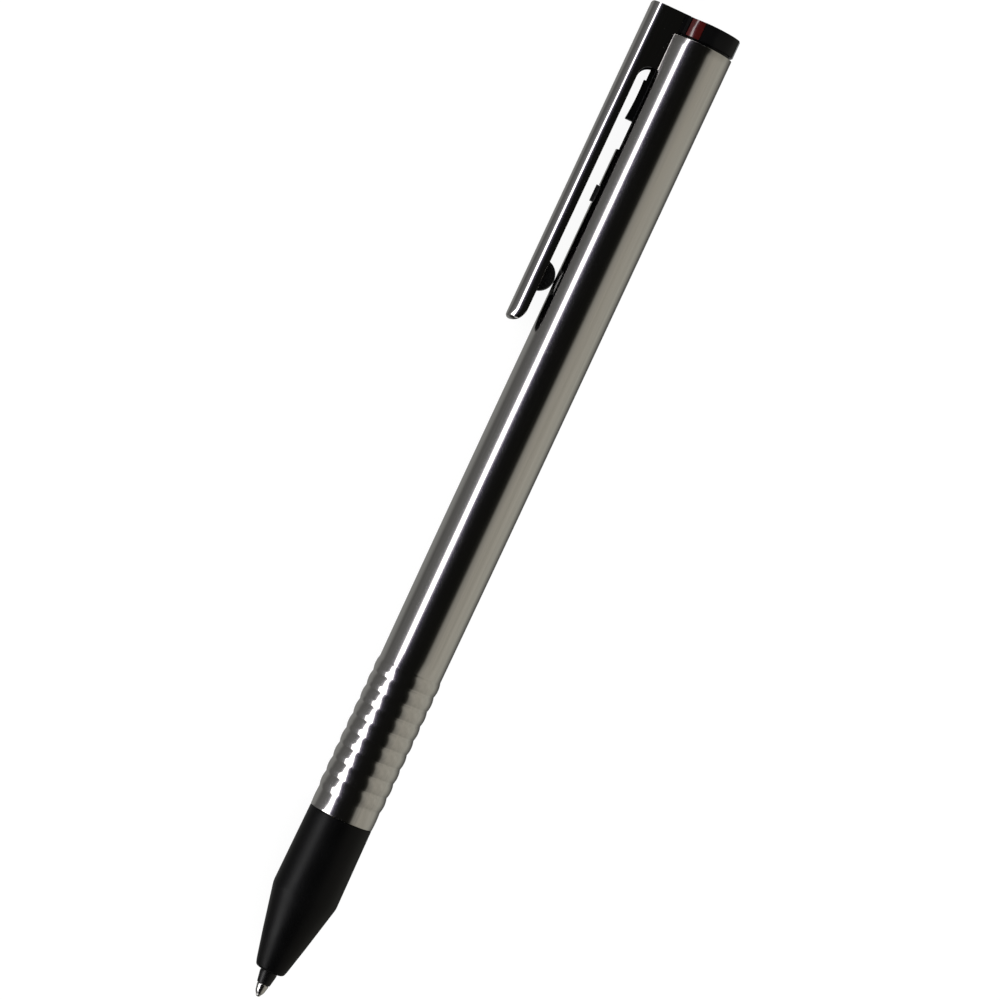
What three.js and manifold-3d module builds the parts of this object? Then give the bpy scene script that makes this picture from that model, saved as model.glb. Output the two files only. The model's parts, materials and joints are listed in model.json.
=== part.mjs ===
// A slim multifunction pen: two ball pens and a pencil in one steel barrel, lying on its side.
//
// Every piece is drawn upright. Heights run up the pen's axis from the open end of the nose, +X points to
// the clip, and +Y is a quarter turn from it. The last lines lay the pen down: the axis runs along X with
// the point towards +X, and the clip leans down on the -Y side until its back touches the surface.
// All lengths are in millimetres and all angles in degrees.

import * as THREE from 'three';
import { mergeVertices } from 'three/addons/utils/BufferGeometryUtils.js';
import Module from 'manifold-3d';

const wasm = await Module();
wasm.setup();

// Fits
const seatGap = 0.15; // between pieces that are fixed together
const runGap = 0.12; // between pieces that run in each other
const restGap = 0.1; // between pieces that rest on each other
const pressGap = 0.08; // between a thin pin and its hole

// Barrel
const barrelLength = 110.2;
const barrelRadius = 4.41;
const barrelWall = 0.36;
const taperLength = 33.4;
const gripSetBack = 0.14; // of the grip's valleys below the barrel's surface
const ringCount = 9;
const ringPitch = 2.062;
const ringRise = 0.19;
const gripBandLength = 2.78;
const bandRise = 0.07; // of the joint with the nose above the grip's valleys
const bandBulge = 0.07;
const slotRoom = 4.02; // from the cage's top to the slot's end
const windowDrop = 1.08; // from the cage's top to the window
const windowLength = 2.5;
const windowWidth = 2.4;
const tabRise = 0.3;
const bushInBarrel = 8.4;
const bushWall = 0.31;

// Nose
const noseEndRadius = 1.97;
const noseSwell = 0.15; // of the nose's widest edge over its top
const noseConeLength = 10.85;
const noseLength = 21.89;
const noseWall = 0.4;
const noseLip = 0.5;
const noseHoleLength = 1.5;
const noseFlareLength = 2.3;

// Refills
const refillRadius = 1.1;
const refillLength = 67.0;
const refillWall = 0.2;
const pointLength = 1.83;
const pointRadius = 0.7;
const pointCheekRadius = 0.56;
const pointCheekHeight = 0.82;
const pointEndRadius = 0.34;
const pointEndEdge = 0.06;
const pointShank = 2.0;
const pointShankRadius = 0.42;
const holderTaper = 1.87;
const holderEndRadius = 0.78;
const holderBody = 3.2;
const holderShank = 3.0;
const refillOut = 3.7; // how far a point stands out of the nose
const refillTravel = 9.0;
const bendAboveGuide = 0.5; // where the refill that is out leaves the axis
const bendBelowTop = 8.3;

// Pencil
const pencilSetBack = 1.0; // of its tip above the parked ball pen's
const nozzleSleeve = 3.0;
const nozzleCone = 3.2;
const nozzleBody = 7.5;
const nozzleSleeveRadius = 0.5;
const nozzleBoreSetBack = 0.4;
const nozzleBoreTaper = 0.5;
const nozzlePlay = 1.0;
const leadRadius = 0.25;
const leadLength = 34.0;
const leadOut = 0.5;
const chuckLength = 6.8;
const chuckRadius = 0.66;

// Guide, spring plate and cage
const guideHeight = 12.0;
const guideThickness = 2.6;
const plateThickness = 2.0;
const plateRoom = 0.6; // above the ends of the parked refills
const cageDrop = 20.52; // from the rim to the cage's top
const cageCupDepth = 9.4;
const cageCupWall = 0.43;
const armGap = 0.2; // from the cap's flat to the arm
const armThickness = 0.8;
const armRoot = 3.0;
const armFootGap = 0.72; // from the lug to the solid part of the arm
const armAbovePin = 3.4;
const bridgeAboveEye = 1.0;
const earRise = 0.95;
const earLength = 5.0;

// Sliders and return springs
const sliderHead = 15.7;
const rodRadius = 0.6;
const plugLength = 4.0;
const springWire = 0.32;
const springPlay = 0.14;

// Push cap
const capHeadHeight = 2.55;
const capGap = 0.35; // between the cap's head and the rim
const capSetBack = 0.03;
const capFlatDepth = 1.41; // of the flat that faces the clip, below the barrel's surface
const capRoom = 0.62; // between the cap and the cage
const capCrown = 1.6;
const capEdge = 0.18;
const notchDepth = 0.3;
const notchLength = 1.2;
const notchPlay = 0.2;
const notchAboveTooth = 0.3;
const markAngles = { red: 69, grey: 180, white: -69 };
const markSpan = 28;
const markDepth = 0.5;
const markSteps = 5; // of each mark's arc

// Gravity selector
const axleRadius = 0.45;
const axleSocket = 0.9;
const axleSetBack = 1.0; // of the axle's end above the cap's lower end
const hubWall = 0.7;
const weightLength = 10.0;
const weightRadius = 2.3;
const weightPlay = 0.2;
const weightArm = 1.5;
const weightArmWidth = 1.7;
const fingerRadius = 0.5;
const fingerWall = 0.3;
const washerRadius = 1.08;
const washerThickness = 0.6;
const capSpringRadius = 0.9;

// Clip, its pad, pin and spring
const clipWidth = 4.1;
const clipWall = 0.45;
const clipRise = 3.89; // of the clip's back above the barrel's surface
const clipDepth = 2.35;
const clipAbove = 2.95; // above the rim
const clipLength = 45.2;
const clipHeadLength = 8.1;
const clipHeadSetBack = 0.23;
const clipStepBelow = 0.5; // of the set-back of the head's walls, about the rim
const clipStepAbove = 0.3;
const clipNotchRadius = 1.5;
const clipEndRadius = 2.1;
const clipEndCurl = 0.25;
const clipEndFill = 0.6;
const clipCorner = 0.4;
const padRadius = 2.1;
const padDrop = 35.4; // from the rim to the pad's middle
const padInside = 0.9;
const pinRadius = 0.4;
const pinRise = 1.1; // of the pin's axis above the cap's flat
const pinDrop = 1.9; // below the rim
const clipSpringRadius = 0.9;
const clipSpringAbovePin = 2.7;

// Release lever: the rises are above the barrel's surface
const leverWidth = 1.6;
const leverRise = 0.19;
const leverUnderPin = 0.35;
const leverEyeRadius = 0.8;
const lugTopRise = 0.49;
const lugHollowRise = 0.33;
const lugEndRise = 0.62;
const lugDrop = 6.9; // from the rim to the lug
const lugLength = 5.5;
const toothHeight = 0.6;
const toothGap = 0.25; // from the cap's flat
const toothSetBack = 0.5; // of its outer side inside the pin's axis

// Facets, and what joining and cutting need
const roundFacets = 36;
const smallFacets = 16;
const thinFacets = 12;
const joined = 0.01; // how far joined solids reach into each other
const past = 1.0; // how far a cutting solid runs past what it cuts

// Radii worked out from the sizes above
const boreRadius = barrelRadius - barrelWall;
const gripRadius = barrelRadius - gripSetBack;
const gripBore = gripRadius - barrelWall;
const bushRadius = gripBore - seatGap;
const bushBore = bushRadius - bushWall;
const pitchRadius = bushBore - restGap - refillRadius; // of the three channels
const channelRadius = refillRadius + runGap;
const refillBore = refillRadius - refillWall;
const leadBore = leadRadius + runGap;
const noseTopRadius = gripRadius + bandRise;
const noseEdgeRadius = noseTopRadius + noseSwell;
const noseBore = bushRadius + seatGap;
const noseHoleRadius = refillRadius + seatGap;
const cageRadius = boreRadius - seatGap;
const cageCup = cageRadius - cageCupWall;
const capFlat = barrelRadius - capFlatDepth;
const capHeadRadius = barrelRadius - capSetBack;
const capNeckRadius = boreRadius - seatGap;
const capBoreRadius = weightRadius + weightPlay;
const fingerPlace = weightRadius - fingerRadius - fingerWall;
const armInner = capFlat + armGap;
const armOuter = armInner + armThickness;
const armWidth = clipWidth - 2 * (clipWall + seatGap);
const slotWidth = clipWidth + 2 * restGap;
const clipBack = barrelRadius + clipRise;
const clipUnder = clipBack - clipDepth;
const clipHeadReach = capFlat + restGap;
const clipSectionRadius = clipWidth / 2;
const clipArcPlace = clipBack - clipSectionRadius;
const padPlace = barrelRadius + restGap + padRadius;
const pinPlace = capFlat + pinRise;

// Heights worked out from the sizes above
const barrelBottom = noseLength + seatGap;
const rim = noseLength + barrelLength;
const bandTop = noseLength + gripBandLength;
const gripTop = bandTop + ringCount * ringPitch;
const taperTop = gripTop + taperLength;
const guideBottom = guideHeight + seatGap;
const guideTop = guideBottom + guideThickness;
const parkedTip = refillTravel - refillOut;
const parkedTop = parkedTip + refillLength;
const outTip = -refillOut;
const outTop = outTip + refillLength;
const bendStart = guideHeight + bendAboveGuide;
const bendEnd = outTop - bendBelowTop;
const pencilTip = parkedTip + pencilSetBack;
const nozzleTop = pencilTip + nozzleSleeve + nozzleCone + nozzleBody;
const plateBottom = parkedTop + plateRoom;
const plateTop = plateBottom + plateThickness;
const cageBottom = plateTop + seatGap;
const cageTop = rim - cageDrop;
const cageFloor = cageTop - cageCupDepth;
const slotBottom = cageTop + slotRoom;
const windowTop = cageTop - windowDrop;
const windowBottom = windowTop - windowLength;
const sliderTop = cageTop - restGap;
const capHeadBottom = rim + capGap;
const capTop = capHeadBottom + capHeadHeight;
const capNeckBottom = cageTop + capRoom;
const capBoreTop = capTop - capCrown;
const axleTop = capBoreTop + axleSocket - restGap;
const axleBottom = capNeckBottom + axleSetBack;
const washerBottom = axleBottom + restGap;
const weightBottom = washerBottom + washerThickness + seatGap;
const fingerBottom = sliderTop - refillTravel + restGap;
const pinZ = rim - pinDrop;
const armTop = pinZ + armAbovePin;
const toothTop = pinZ + leverEyeRadius + toothHeight;
const clipTop = rim + clipAbove;
const clipBottom = clipTop - clipLength;
const clipHeadBottom = clipTop - clipHeadLength;
const lugTopZ = rim - lugDrop;
const lugBottomZ = lugTopZ - lugLength;
const armFootTop = lugBottomZ - armFootGap;

// How the pen lies: on the nose's widest edge and the clip's back
const layAngle = Math.asin((noseEdgeRadius - clipSectionRadius) / clipArcPlace);

// Colours and finishes
function material(color, roughness, metalness) {
  return new THREE.MeshStandardMaterial({ color, roughness, metalness });
}
const steel = material(0xb9b6b0, 0.18, 1.0);
const springSteel = material(0x9a9a9a, 0.35, 1.0);
const brass = material(0xb3934f, 0.35, 1.0);
const nickel = material(0xc9c9c6, 0.22, 1.0);
const blackPlastic = material(0x121212, 0.45, 0.0);
const mattBlack = material(0x161616, 0.7, 0.0);
const whitePlastic = material(0xd9d8d2, 0.5, 0.0);
const redPlastic = material(0x7d1712, 0.35, 0.0);
const greyPlastic = material(0x8b8d8f, 0.4, 0.0);
const graphite = material(0x2c2c30, 0.5, 0.2);

// Solids
function signedVolume(positions, triangles) {
  const a = new THREE.Vector3();
  const b = new THREE.Vector3();
  const c = new THREE.Vector3();
  let sum = 0;
  for (let i = 0; i < triangles.length; i += 3) {
    a.fromArray(positions, triangles[i] * 3);
    b.fromArray(positions, triangles[i + 1] * 3);
    c.fromArray(positions, triangles[i + 2] * 3);
    sum += a.dot(b.cross(c));
  }
  return sum;
}

function toSolid(geometry) {
  const bare = geometry.clone();
  bare.deleteAttribute('normal');
  bare.deleteAttribute('uv');
  const merged = mergeVertices(bare, 1e-5);
  const vertProperties = new Float32Array(merged.attributes.position.array);
  const corners = merged.index.array;
  const kept = [];
  for (let i = 0; i < corners.length; i += 3) {
    const [a, b, c] = [corners[i], corners[i + 1], corners[i + 2]];
    if (a !== b && b !== c && c !== a) {
      kept.push(a, b, c);
    }
  }
  const triVerts = new Uint32Array(kept);
  if (signedVolume(vertProperties, triVerts) < 0) {
    for (let i = 0; i < triVerts.length; i += 3) {
      [triVerts[i], triVerts[i + 1]] = [triVerts[i + 1], triVerts[i]];
    }
  }
  return new wasm.Manifold(new wasm.Mesh({ numProp: 3, vertProperties, triVerts }));
}

function toGeometry(solid) {
  const mesh = solid.getMesh();
  const geometry = new THREE.BufferGeometry();
  const stride = mesh.numProp;
  const count = mesh.vertProperties.length / stride;
  const positions = new Float32Array(count * 3);
  for (let i = 0; i < count; i += 1) {
    positions.set(mesh.vertProperties.subarray(i * stride, i * stride + 3), i * 3);
  }
  geometry.setAttribute('position', new THREE.BufferAttribute(positions, 3));
  geometry.setIndex(new THREE.BufferAttribute(new Uint32Array(mesh.triVerts), 1));
  geometry.computeVertexNormals();
  return geometry;
}

// A turned solid about the pen's axis, from its [radius, height] corners.
function turned(corners, facets = roundFacets) {
  const points = corners.map(([radius, height]) => new THREE.Vector2(radius, height));
  const [first, last] = [points[0], points[points.length - 1]];
  if (first.x > 0 || last.x > 0) {
    points.push(first.clone());
  }
  const geometry = new THREE.LatheGeometry(points, facets);
  geometry.rotateX(Math.PI / 2);
  return toSolid(geometry);
}

function rod(radius, bottom, top, facets = smallFacets, x = 0, y = 0) {
  const geometry = new THREE.CylinderGeometry(radius, radius, top - bottom, facets);
  geometry.rotateX(Math.PI / 2);
  geometry.translate(x, y, (top + bottom) / 2);
  return toSolid(geometry);
}

function sleeve(outer, inner, bottom, top, facets = smallFacets) {
  return turned([[inner, bottom], [outer, bottom], [outer, top], [inner, top]], facets);
}

function block(x0, x1, width, bottom, top, y = 0) {
  const geometry = new THREE.BoxGeometry(x1 - x0, width, top - bottom);
  geometry.translate((x0 + x1) / 2, y, (top + bottom) / 2);
  return toSolid(geometry);
}

// A solid drawn from the side, with x away from the axis and height up, and one width along y.
function sideCut(shape, width, curveSegments = 6) {
  const options = { depth: width, bevelEnabled: false, curveSegments };
  const geometry = new THREE.ExtrudeGeometry(shape, options);
  geometry.rotateX(Math.PI / 2);
  geometry.translate(0, width / 2, 0);
  return toSolid(geometry);
}

// A solid drawn from above, and raised from bottom to top.
function raised(shape, bottom, top, curveSegments = 8) {
  const options = { depth: top - bottom, bevelEnabled: false, curveSegments };
  const geometry = new THREE.ExtrudeGeometry(shape, options);
  geometry.translate(0, 0, bottom);
  return toSolid(geometry);
}

function crossPin(radius, length, x, height, facets = smallFacets) {
  const geometry = new THREE.CylinderGeometry(radius, radius, length, facets);
  geometry.translate(x, 0, height);
  return toSolid(geometry);
}

function around(solid, angle) {
  return solid.rotate([0, 0, angle]);
}

const pen = new THREE.Group();

function add(name, solid, finish) {
  const mesh = new THREE.Mesh(toGeometry(solid), finish);
  mesh.name = name;
  pen.add(mesh);
}

// Barrel
function gripRings() {
  const crest = [[0, 0], [0.2, 0.72], [0.5, 1], [0.8, 0.72]];
  const points = [];
  for (let ring = 0; ring < ringCount; ring += 1) {
    for (const [along, rise] of crest) {
      points.push([gripRadius + ringRise * rise, bandTop + (ring + along) * ringPitch]);
    }
  }
  return points;
}

function barrelTube() {
  const bandMiddle = (barrelBottom + bandTop) / 2;
  const tube = turned([
    [gripBore, barrelBottom],
    [noseTopRadius, barrelBottom],
    [noseTopRadius + bandBulge, bandMiddle],
    ...gripRings(),
    [gripRadius, gripTop],
    [barrelRadius, taperTop],
    [barrelRadius, rim],
    [boreRadius, rim],
    [boreRadius, taperTop],
    [gripBore, gripTop],
  ]);
  const slot = block(capFlat, barrelRadius * 2, slotWidth, slotBottom, rim + past);
  const tabWindow = block(capFlat, barrelRadius * 2, windowWidth, windowBottom, windowTop);
  return tube.subtract(slot).subtract(tabWindow);
}

// Nose, thread bush and refill guide
function noseCone() {
  const slope = (noseEdgeRadius - noseEndRadius) / noseConeLength;
  const outerAt = (height) => noseEndRadius + slope * height;
  const lipCut = noseLip * (1 - Math.SQRT1_2);
  const ledge = pitchRadius + refillRadius + seatGap;
  const ledgeHeight = (ledge + noseWall - noseEndRadius) / slope;
  const flareHeight = noseHoleLength + noseFlareLength;
  return turned([
    [noseHoleRadius, 0],
    [noseEndRadius - noseLip, 0],
    [noseEndRadius - lipCut, lipCut],
    [outerAt(noseLip), noseLip],
    [noseEdgeRadius, noseConeLength],
    [noseTopRadius, noseLength],
    [noseBore, noseLength],
    [noseBore, guideHeight],
    [ledge, guideHeight],
    [ledge, ledgeHeight],
    [outerAt(flareHeight) - noseWall, flareHeight],
    [noseHoleRadius, noseHoleLength],
  ]);
}

function threadBush() {
  return sleeve(bushRadius, bushBore, guideTop + seatGap, noseLength + bushInBarrel, roundFacets);
}

const channelAngles = { red: 60, black: 180, pencil: -60 };

function refillGuide() {
  let disc = rod(noseBore - seatGap, guideBottom, guideTop, roundFacets);
  for (const angle of Object.values(channelAngles)) {
    const hole = rod(channelRadius, guideBottom - past, guideTop + past, smallFacets, pitchRadius);
    const wayWidth = 2 * (channelRadius - joined);
    const way = block(-joined, pitchRadius, wayWidth, guideBottom - past, guideTop + past);
    disc = disc.subtract(around(hole.add(way), angle));
  }
  return disc;
}

// Mechanism
function boreAt(height) {
  const along = THREE.MathUtils.clamp((height - gripTop) / taperLength, 0, 1);
  return THREE.MathUtils.lerp(gripBore, boreRadius, along);
}

function springPlate() {
  let plate = rod(boreAt(plateBottom) - seatGap, plateBottom, plateTop, roundFacets);
  for (const angle of Object.values(channelAngles)) {
    const hole = rod(rodRadius + runGap, plateBottom - past, plateTop + past, smallFacets, pitchRadius);
    plate = plate.subtract(around(hole, angle));
  }
  return plate;
}

function mechanismCage() {
  let cage = turned([
    [0, cageBottom],
    [cageRadius, cageBottom],
    [cageRadius, cageTop],
    [cageCup, cageTop],
    [cageCup, cageFloor],
    [0, cageFloor],
  ]);
  const halfRail = (armWidth - leverWidth) / 4 - runGap / 2;
  const railPlace = armWidth / 2 - halfRail;
  const earOuter = armOuter + earRise;
  const armBase = cageTop - armRoot;
  const insideBarrel = rod(cageRadius, armBase, slotBottom + seatGap, roundFacets);
  const foot = block(armInner, armOuter, armWidth, armBase, slotBottom + seatGap);
  const floor = block(armInner, armOuter, armWidth, slotBottom + seatGap, armFootTop);
  cage = cage.add(foot.intersect(insideBarrel)).add(floor);
  for (const side of [-1, 1]) {
    const place = side * railPlace;
    const rail = block(armInner, armOuter, 2 * halfRail, armFootTop - joined, armTop, place);
    const ear = block(armOuter - joined, earOuter, 2 * halfRail, armTop - earLength, armTop, place);
    cage = cage.add(rail).add(ear);
  }
  const bridgeBottom = pinZ + leverEyeRadius + bridgeAboveEye;
  cage = cage.add(block(armInner, earOuter, armWidth, bridgeBottom, armTop));
  cage = cage.subtract(crossPin(pinRadius + restGap, armWidth + past, pinPlace, pinZ));
  for (const angle of Object.values(channelAngles)) {
    const channel = rod(channelRadius, cageBottom - past, cageFloor + past, smallFacets, pitchRadius);
    cage = cage.subtract(around(channel, angle));
  }
  const tabInner = (cageCup + cageRadius) / 2;
  const tabOuter = barrelRadius + tabRise;
  const tabWidth = windowWidth - 2 * seatGap;
  const tab = block(tabInner, tabOuter, tabWidth, windowBottom + seatGap, windowTop - seatGap);
  return cage.add(tab);
}

function slider(drop) {
  const top = sliderTop - drop;
  const shoulder = top - sliderHead;
  const plugTop = parkedTop - drop;
  const plugRadius = refillBore - runGap;
  return turned([
    [0, plugTop - plugLength],
    [plugRadius, plugTop - plugLength],
    [plugRadius, plugTop],
    [rodRadius, plugTop],
    [rodRadius, shoulder],
    [refillRadius, shoulder],
    [refillRadius, top],
    [0, top],
  ], smallFacets);
}

function returnSpring(drop) {
  const top = sliderTop - drop - sliderHead - restGap;
  const inner = rodRadius + springPlay;
  return sleeve(inner + springWire, inner, plateTop + restGap, top);
}

// Refills
function point(tip) {
  const shoulder = tip + pointLength;
  return turned([
    [0, tip],
    [pointEndRadius - pointEndEdge, tip],
    [pointEndRadius, tip + pointEndEdge],
    [pointCheekRadius, tip + pointCheekHeight],
    [pointRadius, shoulder - restGap],
    [pointShankRadius, shoulder - restGap],
    [pointShankRadius, shoulder + pointShank],
    [0, shoulder + pointShank],
  ], smallFacets);
}

function holder(tip) {
  const front = tip + pointLength;
  const wide = front + holderTaper;
  const shoulder = wide + holderBody;
  const shankRadius = refillBore - restGap;
  const bore = pointShankRadius + pressGap;
  return turned([
    [bore, front],
    [holderEndRadius, front],
    [refillRadius, wide],
    [refillRadius, shoulder - restGap],
    [shankRadius, shoulder - restGap],
    [shankRadius, shoulder + holderShank],
    [bore, shoulder + holderShank],
  ], smallFacets);
}

function holderShoulder(tip) {
  return tip + pointLength + holderTaper + holderBody;
}

function ring(outer, inner, facets) {
  const shape = new THREE.Shape();
  const hole = new THREE.Path();
  for (let i = 0; i < facets; i += 1) {
    const angle = (i / facets) * 2 * Math.PI;
    const [c, s] = [Math.cos(angle), Math.sin(angle)];
    if (i === 0) {
      shape.moveTo(outer * c, outer * s);
      hole.moveTo(inner * c, inner * s);
    } else {
      shape.lineTo(outer * c, outer * s);
      hole.lineTo(inner * c, inner * s);
    }
  }
  shape.closePath();
  hole.closePath();
  shape.holes.push(hole);
  return shape;
}

// The way that a bent tube leaves the axis: smooth at both ends.
class BendCurve extends THREE.Curve {
  constructor(bottom, top) {
    super();
    this.bottom = bottom;
    this.top = top;
  }

  getPoint(t, target = new THREE.Vector3()) {
    const height = THREE.MathUtils.lerp(this.bottom, this.top, t);
    const along = THREE.MathUtils.clamp((height - bendStart) / (bendEnd - bendStart), 0, 1);
    const away = pitchRadius * along * along * (3 - 2 * along);
    return target.set(away, 0, height);
  }
}

function bentTube(bottom, top) {
  const options = { steps: 24, bevelEnabled: false, extrudePath: new BendCurve(bottom, top) };
  const shape = ring(refillRadius, refillBore, smallFacets);
  return toSolid(new THREE.ExtrudeGeometry(shape, options));
}

function straightTube(bottom, top) {
  return sleeve(refillRadius, refillBore, bottom, top);
}

// Pencil
function pencilNozzle() {
  const coneBottom = pencilTip + nozzleSleeve;
  const coneTop = coneBottom + nozzleCone;
  const bore = chuckRadius + runGap;
  const boreBottom = coneTop - nozzleBoreSetBack;
  return turned([
    [leadBore, pencilTip],
    [nozzleSleeveRadius, pencilTip],
    [nozzleSleeveRadius, coneBottom],
    [refillRadius, coneTop],
    [refillRadius, nozzleTop],
    [bore, nozzleTop],
    [bore, boreBottom],
    [leadBore, boreBottom - nozzleBoreTaper],
  ], smallFacets);
}

function pencilChuck() {
  const top = nozzleTop + nozzlePlay + plugLength;
  return sleeve(chuckRadius, leadBore, top - plugLength - chuckLength, top);
}

function pencilLead() {
  const leadBottom = pencilTip - leadOut;
  return rod(leadRadius, leadBottom, leadBottom + leadLength, thinFacets);
}

function pencilTube() {
  return straightTube(nozzleTop + nozzlePlay + restGap, parkedTop);
}

// Push cap
function pushCap() {
  let cap = turned([
    [0, capBoreTop],
    [capBoreRadius, capBoreTop],
    [capBoreRadius, capNeckBottom],
    [capNeckRadius, capNeckBottom],
    [capNeckRadius, capHeadBottom],
    [capHeadRadius, capHeadBottom],
    [capHeadRadius, capTop - capEdge],
    [capHeadRadius - capEdge, capTop],
    [0, capTop],
  ]);
  const side = block(capFlat, barrelRadius * 2, barrelRadius * 3, capNeckBottom - past, capTop + past);
  cap = cap.subtract(side).subtract(rod(axleRadius + restGap, capBoreTop - past, capBoreTop + axleSocket));
  const notchTop = toothTop + notchAboveTooth;
  const notchWidth = leverWidth + 2 * notchPlay;
  const notchBottom = notchTop - notchLength;
  cap = cap.subtract(block(capFlat - notchDepth, capFlat + past, notchWidth, notchBottom, notchTop));
  for (const angle of Object.values(markAngles)) {
    cap = cap.subtract(around(markPocket(), angle));
  }
  return cap;
}

// A piece of ring in the cap's side, wider and deeper than the mark by the gap.
function markShape(outer, gap) {
  const inner = capHeadRadius - markDepth - gap;
  const half = THREE.MathUtils.degToRad(markSpan / 2) + gap / capHeadRadius;
  const shape = new THREE.Shape();
  shape.absarc(0, 0, outer, -half, half, false);
  shape.absarc(0, 0, inner, half, -half, true);
  shape.closePath();
  return shape;
}

function markBlock() {
  return raised(markShape(capHeadRadius, 0), capHeadBottom, capTop - capEdge, markSteps);
}

function markPocket() {
  const shape = markShape(capHeadRadius + past, restGap);
  return raised(shape, capHeadBottom - past, capTop + past, markSteps);
}

// Gravity selector
function selectorWeight() {
  const top = weightBottom + weightLength;
  const armEdge = weightBottom + weightArm;
  const half = block(0, weightRadius * 2, weightRadius * 3, weightBottom, top);
  const hub = rod(axleRadius + hubWall, weightBottom, top);
  const arm = block(-fingerPlace, 0, weightArmWidth, weightBottom, armEdge);
  const armEnd = rod(weightArmWidth / 2, weightBottom, armEdge, smallFacets, -fingerPlace);
  const within = rod(weightRadius, weightBottom, top, roundFacets);
  const weight = within.intersect(half.add(arm).add(armEnd)).add(hub);
  const axleHole = rod(axleRadius + runGap, weightBottom - past, top + past);
  const fingerBore = fingerRadius + pressGap;
  const fingerHole = rod(fingerBore, weightBottom - past, armEdge + past, thinFacets, -fingerPlace);
  return weight.subtract(axleHole).subtract(fingerHole);
}

function selectorFinger() {
  return rod(fingerRadius, fingerBottom, weightBottom + weightArm, thinFacets, -fingerPlace);
}

function selectorWasher() {
  const washerBore = axleRadius + restGap;
  return sleeve(washerRadius, washerBore, washerBottom, washerBottom + washerThickness);
}

function capSpring() {
  return sleeve(capSpringRadius, capSpringRadius - springWire, cageFloor + restGap, axleBottom);
}

// Clip
function clipProfile() {
  const shape = new THREE.Shape();
  const flat = clipCorner;
  shape.moveTo(clipHeadReach + clipHeadSetBack, clipTop);
  shape.lineTo(clipBack - flat, clipTop);
  shape.absarc(clipBack - flat, clipTop - flat, flat, Math.PI / 2, 0, true);
  shape.lineTo(clipBack, clipBottom + flat);
  shape.absarc(clipBack - flat, clipBottom + flat, flat, 0, -Math.PI / 2, true);
  const [curlX, curlZ] = [clipUnder + clipEndCurl, clipBottom + clipEndCurl];
  shape.quadraticCurveTo(curlX, curlZ, clipUnder, clipBottom + clipEndRadius);
  shape.lineTo(clipUnder, clipHeadBottom - clipNotchRadius);
  const notchX = clipUnder - clipNotchRadius;
  shape.absarc(notchX, clipHeadBottom - clipNotchRadius, clipNotchRadius, 0, Math.PI / 2, false);
  shape.lineTo(clipHeadReach, clipHeadBottom);
  shape.lineTo(clipHeadReach, rim - clipStepBelow);
  shape.lineTo(clipHeadReach + clipHeadSetBack, rim + clipStepAbove);
  shape.closePath();
  return shape;
}

function channelSection(radius) {
  const shape = new THREE.Shape();
  shape.moveTo(0, -radius);
  shape.lineTo(clipArcPlace, -radius);
  shape.absarc(clipArcPlace, 0, radius, -Math.PI / 2, Math.PI / 2, false);
  shape.lineTo(0, radius);
  shape.closePath();
  return shape;
}

function clipHollow() {
  const inner = clipBack - clipWall;
  const floorEdge = clipBottom + clipEndRadius + clipEndFill;
  const shape = new THREE.Shape();
  shape.moveTo(0, clipTop - clipWall);
  shape.lineTo(inner, clipTop - clipWall);
  shape.lineTo(inner, clipBottom + clipWall + clipEndFill);
  shape.lineTo(clipUnder + clipEndFill, floorEdge);
  shape.lineTo(clipUnder, floorEdge + clipEndFill);
  shape.lineTo(0, floorEdge + clipEndFill);
  shape.closePath();
  return shape;
}

function channelClip() {
  const outer = raised(channelSection(clipSectionRadius), clipBottom - past, clipTop + past);
  const inner = raised(channelSection(clipSectionRadius - clipWall), clipBottom - past, clipTop + past);
  const body = outer.intersect(sideCut(clipProfile(), clipWidth + past));
  const hollow = inner.intersect(sideCut(clipHollow(), clipWidth + past));
  const pinHole = crossPin(pinRadius + restGap, clipWidth + past, pinPlace, pinZ);
  return body.subtract(hollow).subtract(pinHole);
}

function clipPad() {
  const padWidth = clipWidth - 2 * (clipWall + seatGap);
  const disc = crossPin(padRadius, padWidth, padPlace, rim - padDrop, roundFacets);
  const room = block(0, clipUnder + padInside, padWidth + past, clipBottom, rim);
  return disc.intersect(room);
}

// The clip's spring stands on the cage's ears and meets the round of the channel at its two sides.
function radialSpring() {
  const channelInside = clipSectionRadius - clipWall;
  const bottom = armOuter + earRise + restGap;
  const top = clipArcPlace + Math.sqrt(channelInside ** 2 - clipSpringRadius ** 2) - restGap;
  const coil = sleeve(clipSpringRadius, clipSpringRadius - springWire, bottom, top, thinFacets);
  return coil.rotate([0, 90, 0]).translate([0, 0, pinZ + clipSpringAbovePin]);
}

// Release lever
function releaseLever() {
  const under = pinPlace - leverUnderPin;
  const hollow = barrelRadius + lugHollowRise;
  const tooth = capFlat + toothGap;
  const eyeCorner = leverEyeRadius * Math.SQRT1_2;
  const shape = new THREE.Shape();
  shape.moveTo(under, lugBottomZ);
  shape.lineTo(barrelRadius + lugEndRise, lugBottomZ);
  shape.quadraticCurveTo(hollow, (lugBottomZ + lugTopZ) / 2, barrelRadius + lugTopRise, lugTopZ);
  shape.lineTo(barrelRadius + leverRise, lugTopZ);
  shape.lineTo(pinPlace + eyeCorner, pinZ - eyeCorner);
  shape.absarc(pinPlace, pinZ, leverEyeRadius, -Math.PI / 4, Math.PI / 2, false);
  shape.lineTo(pinPlace - toothSetBack, toothTop);
  shape.lineTo(tooth, toothTop);
  shape.lineTo(tooth, toothTop - toothHeight);
  shape.lineTo(pinPlace - leverEyeRadius, pinZ);
  shape.lineTo(under, pinZ - 2 * leverEyeRadius);
  shape.closePath();
  const lever = sideCut(shape, leverWidth);
  return lever.subtract(crossPin(pinRadius + restGap, leverWidth + past, pinPlace, pinZ));
}

// Assembly
const outShoulder = holderShoulder(outTip);
const parkedShoulder = holderShoulder(parkedTip);

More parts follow.
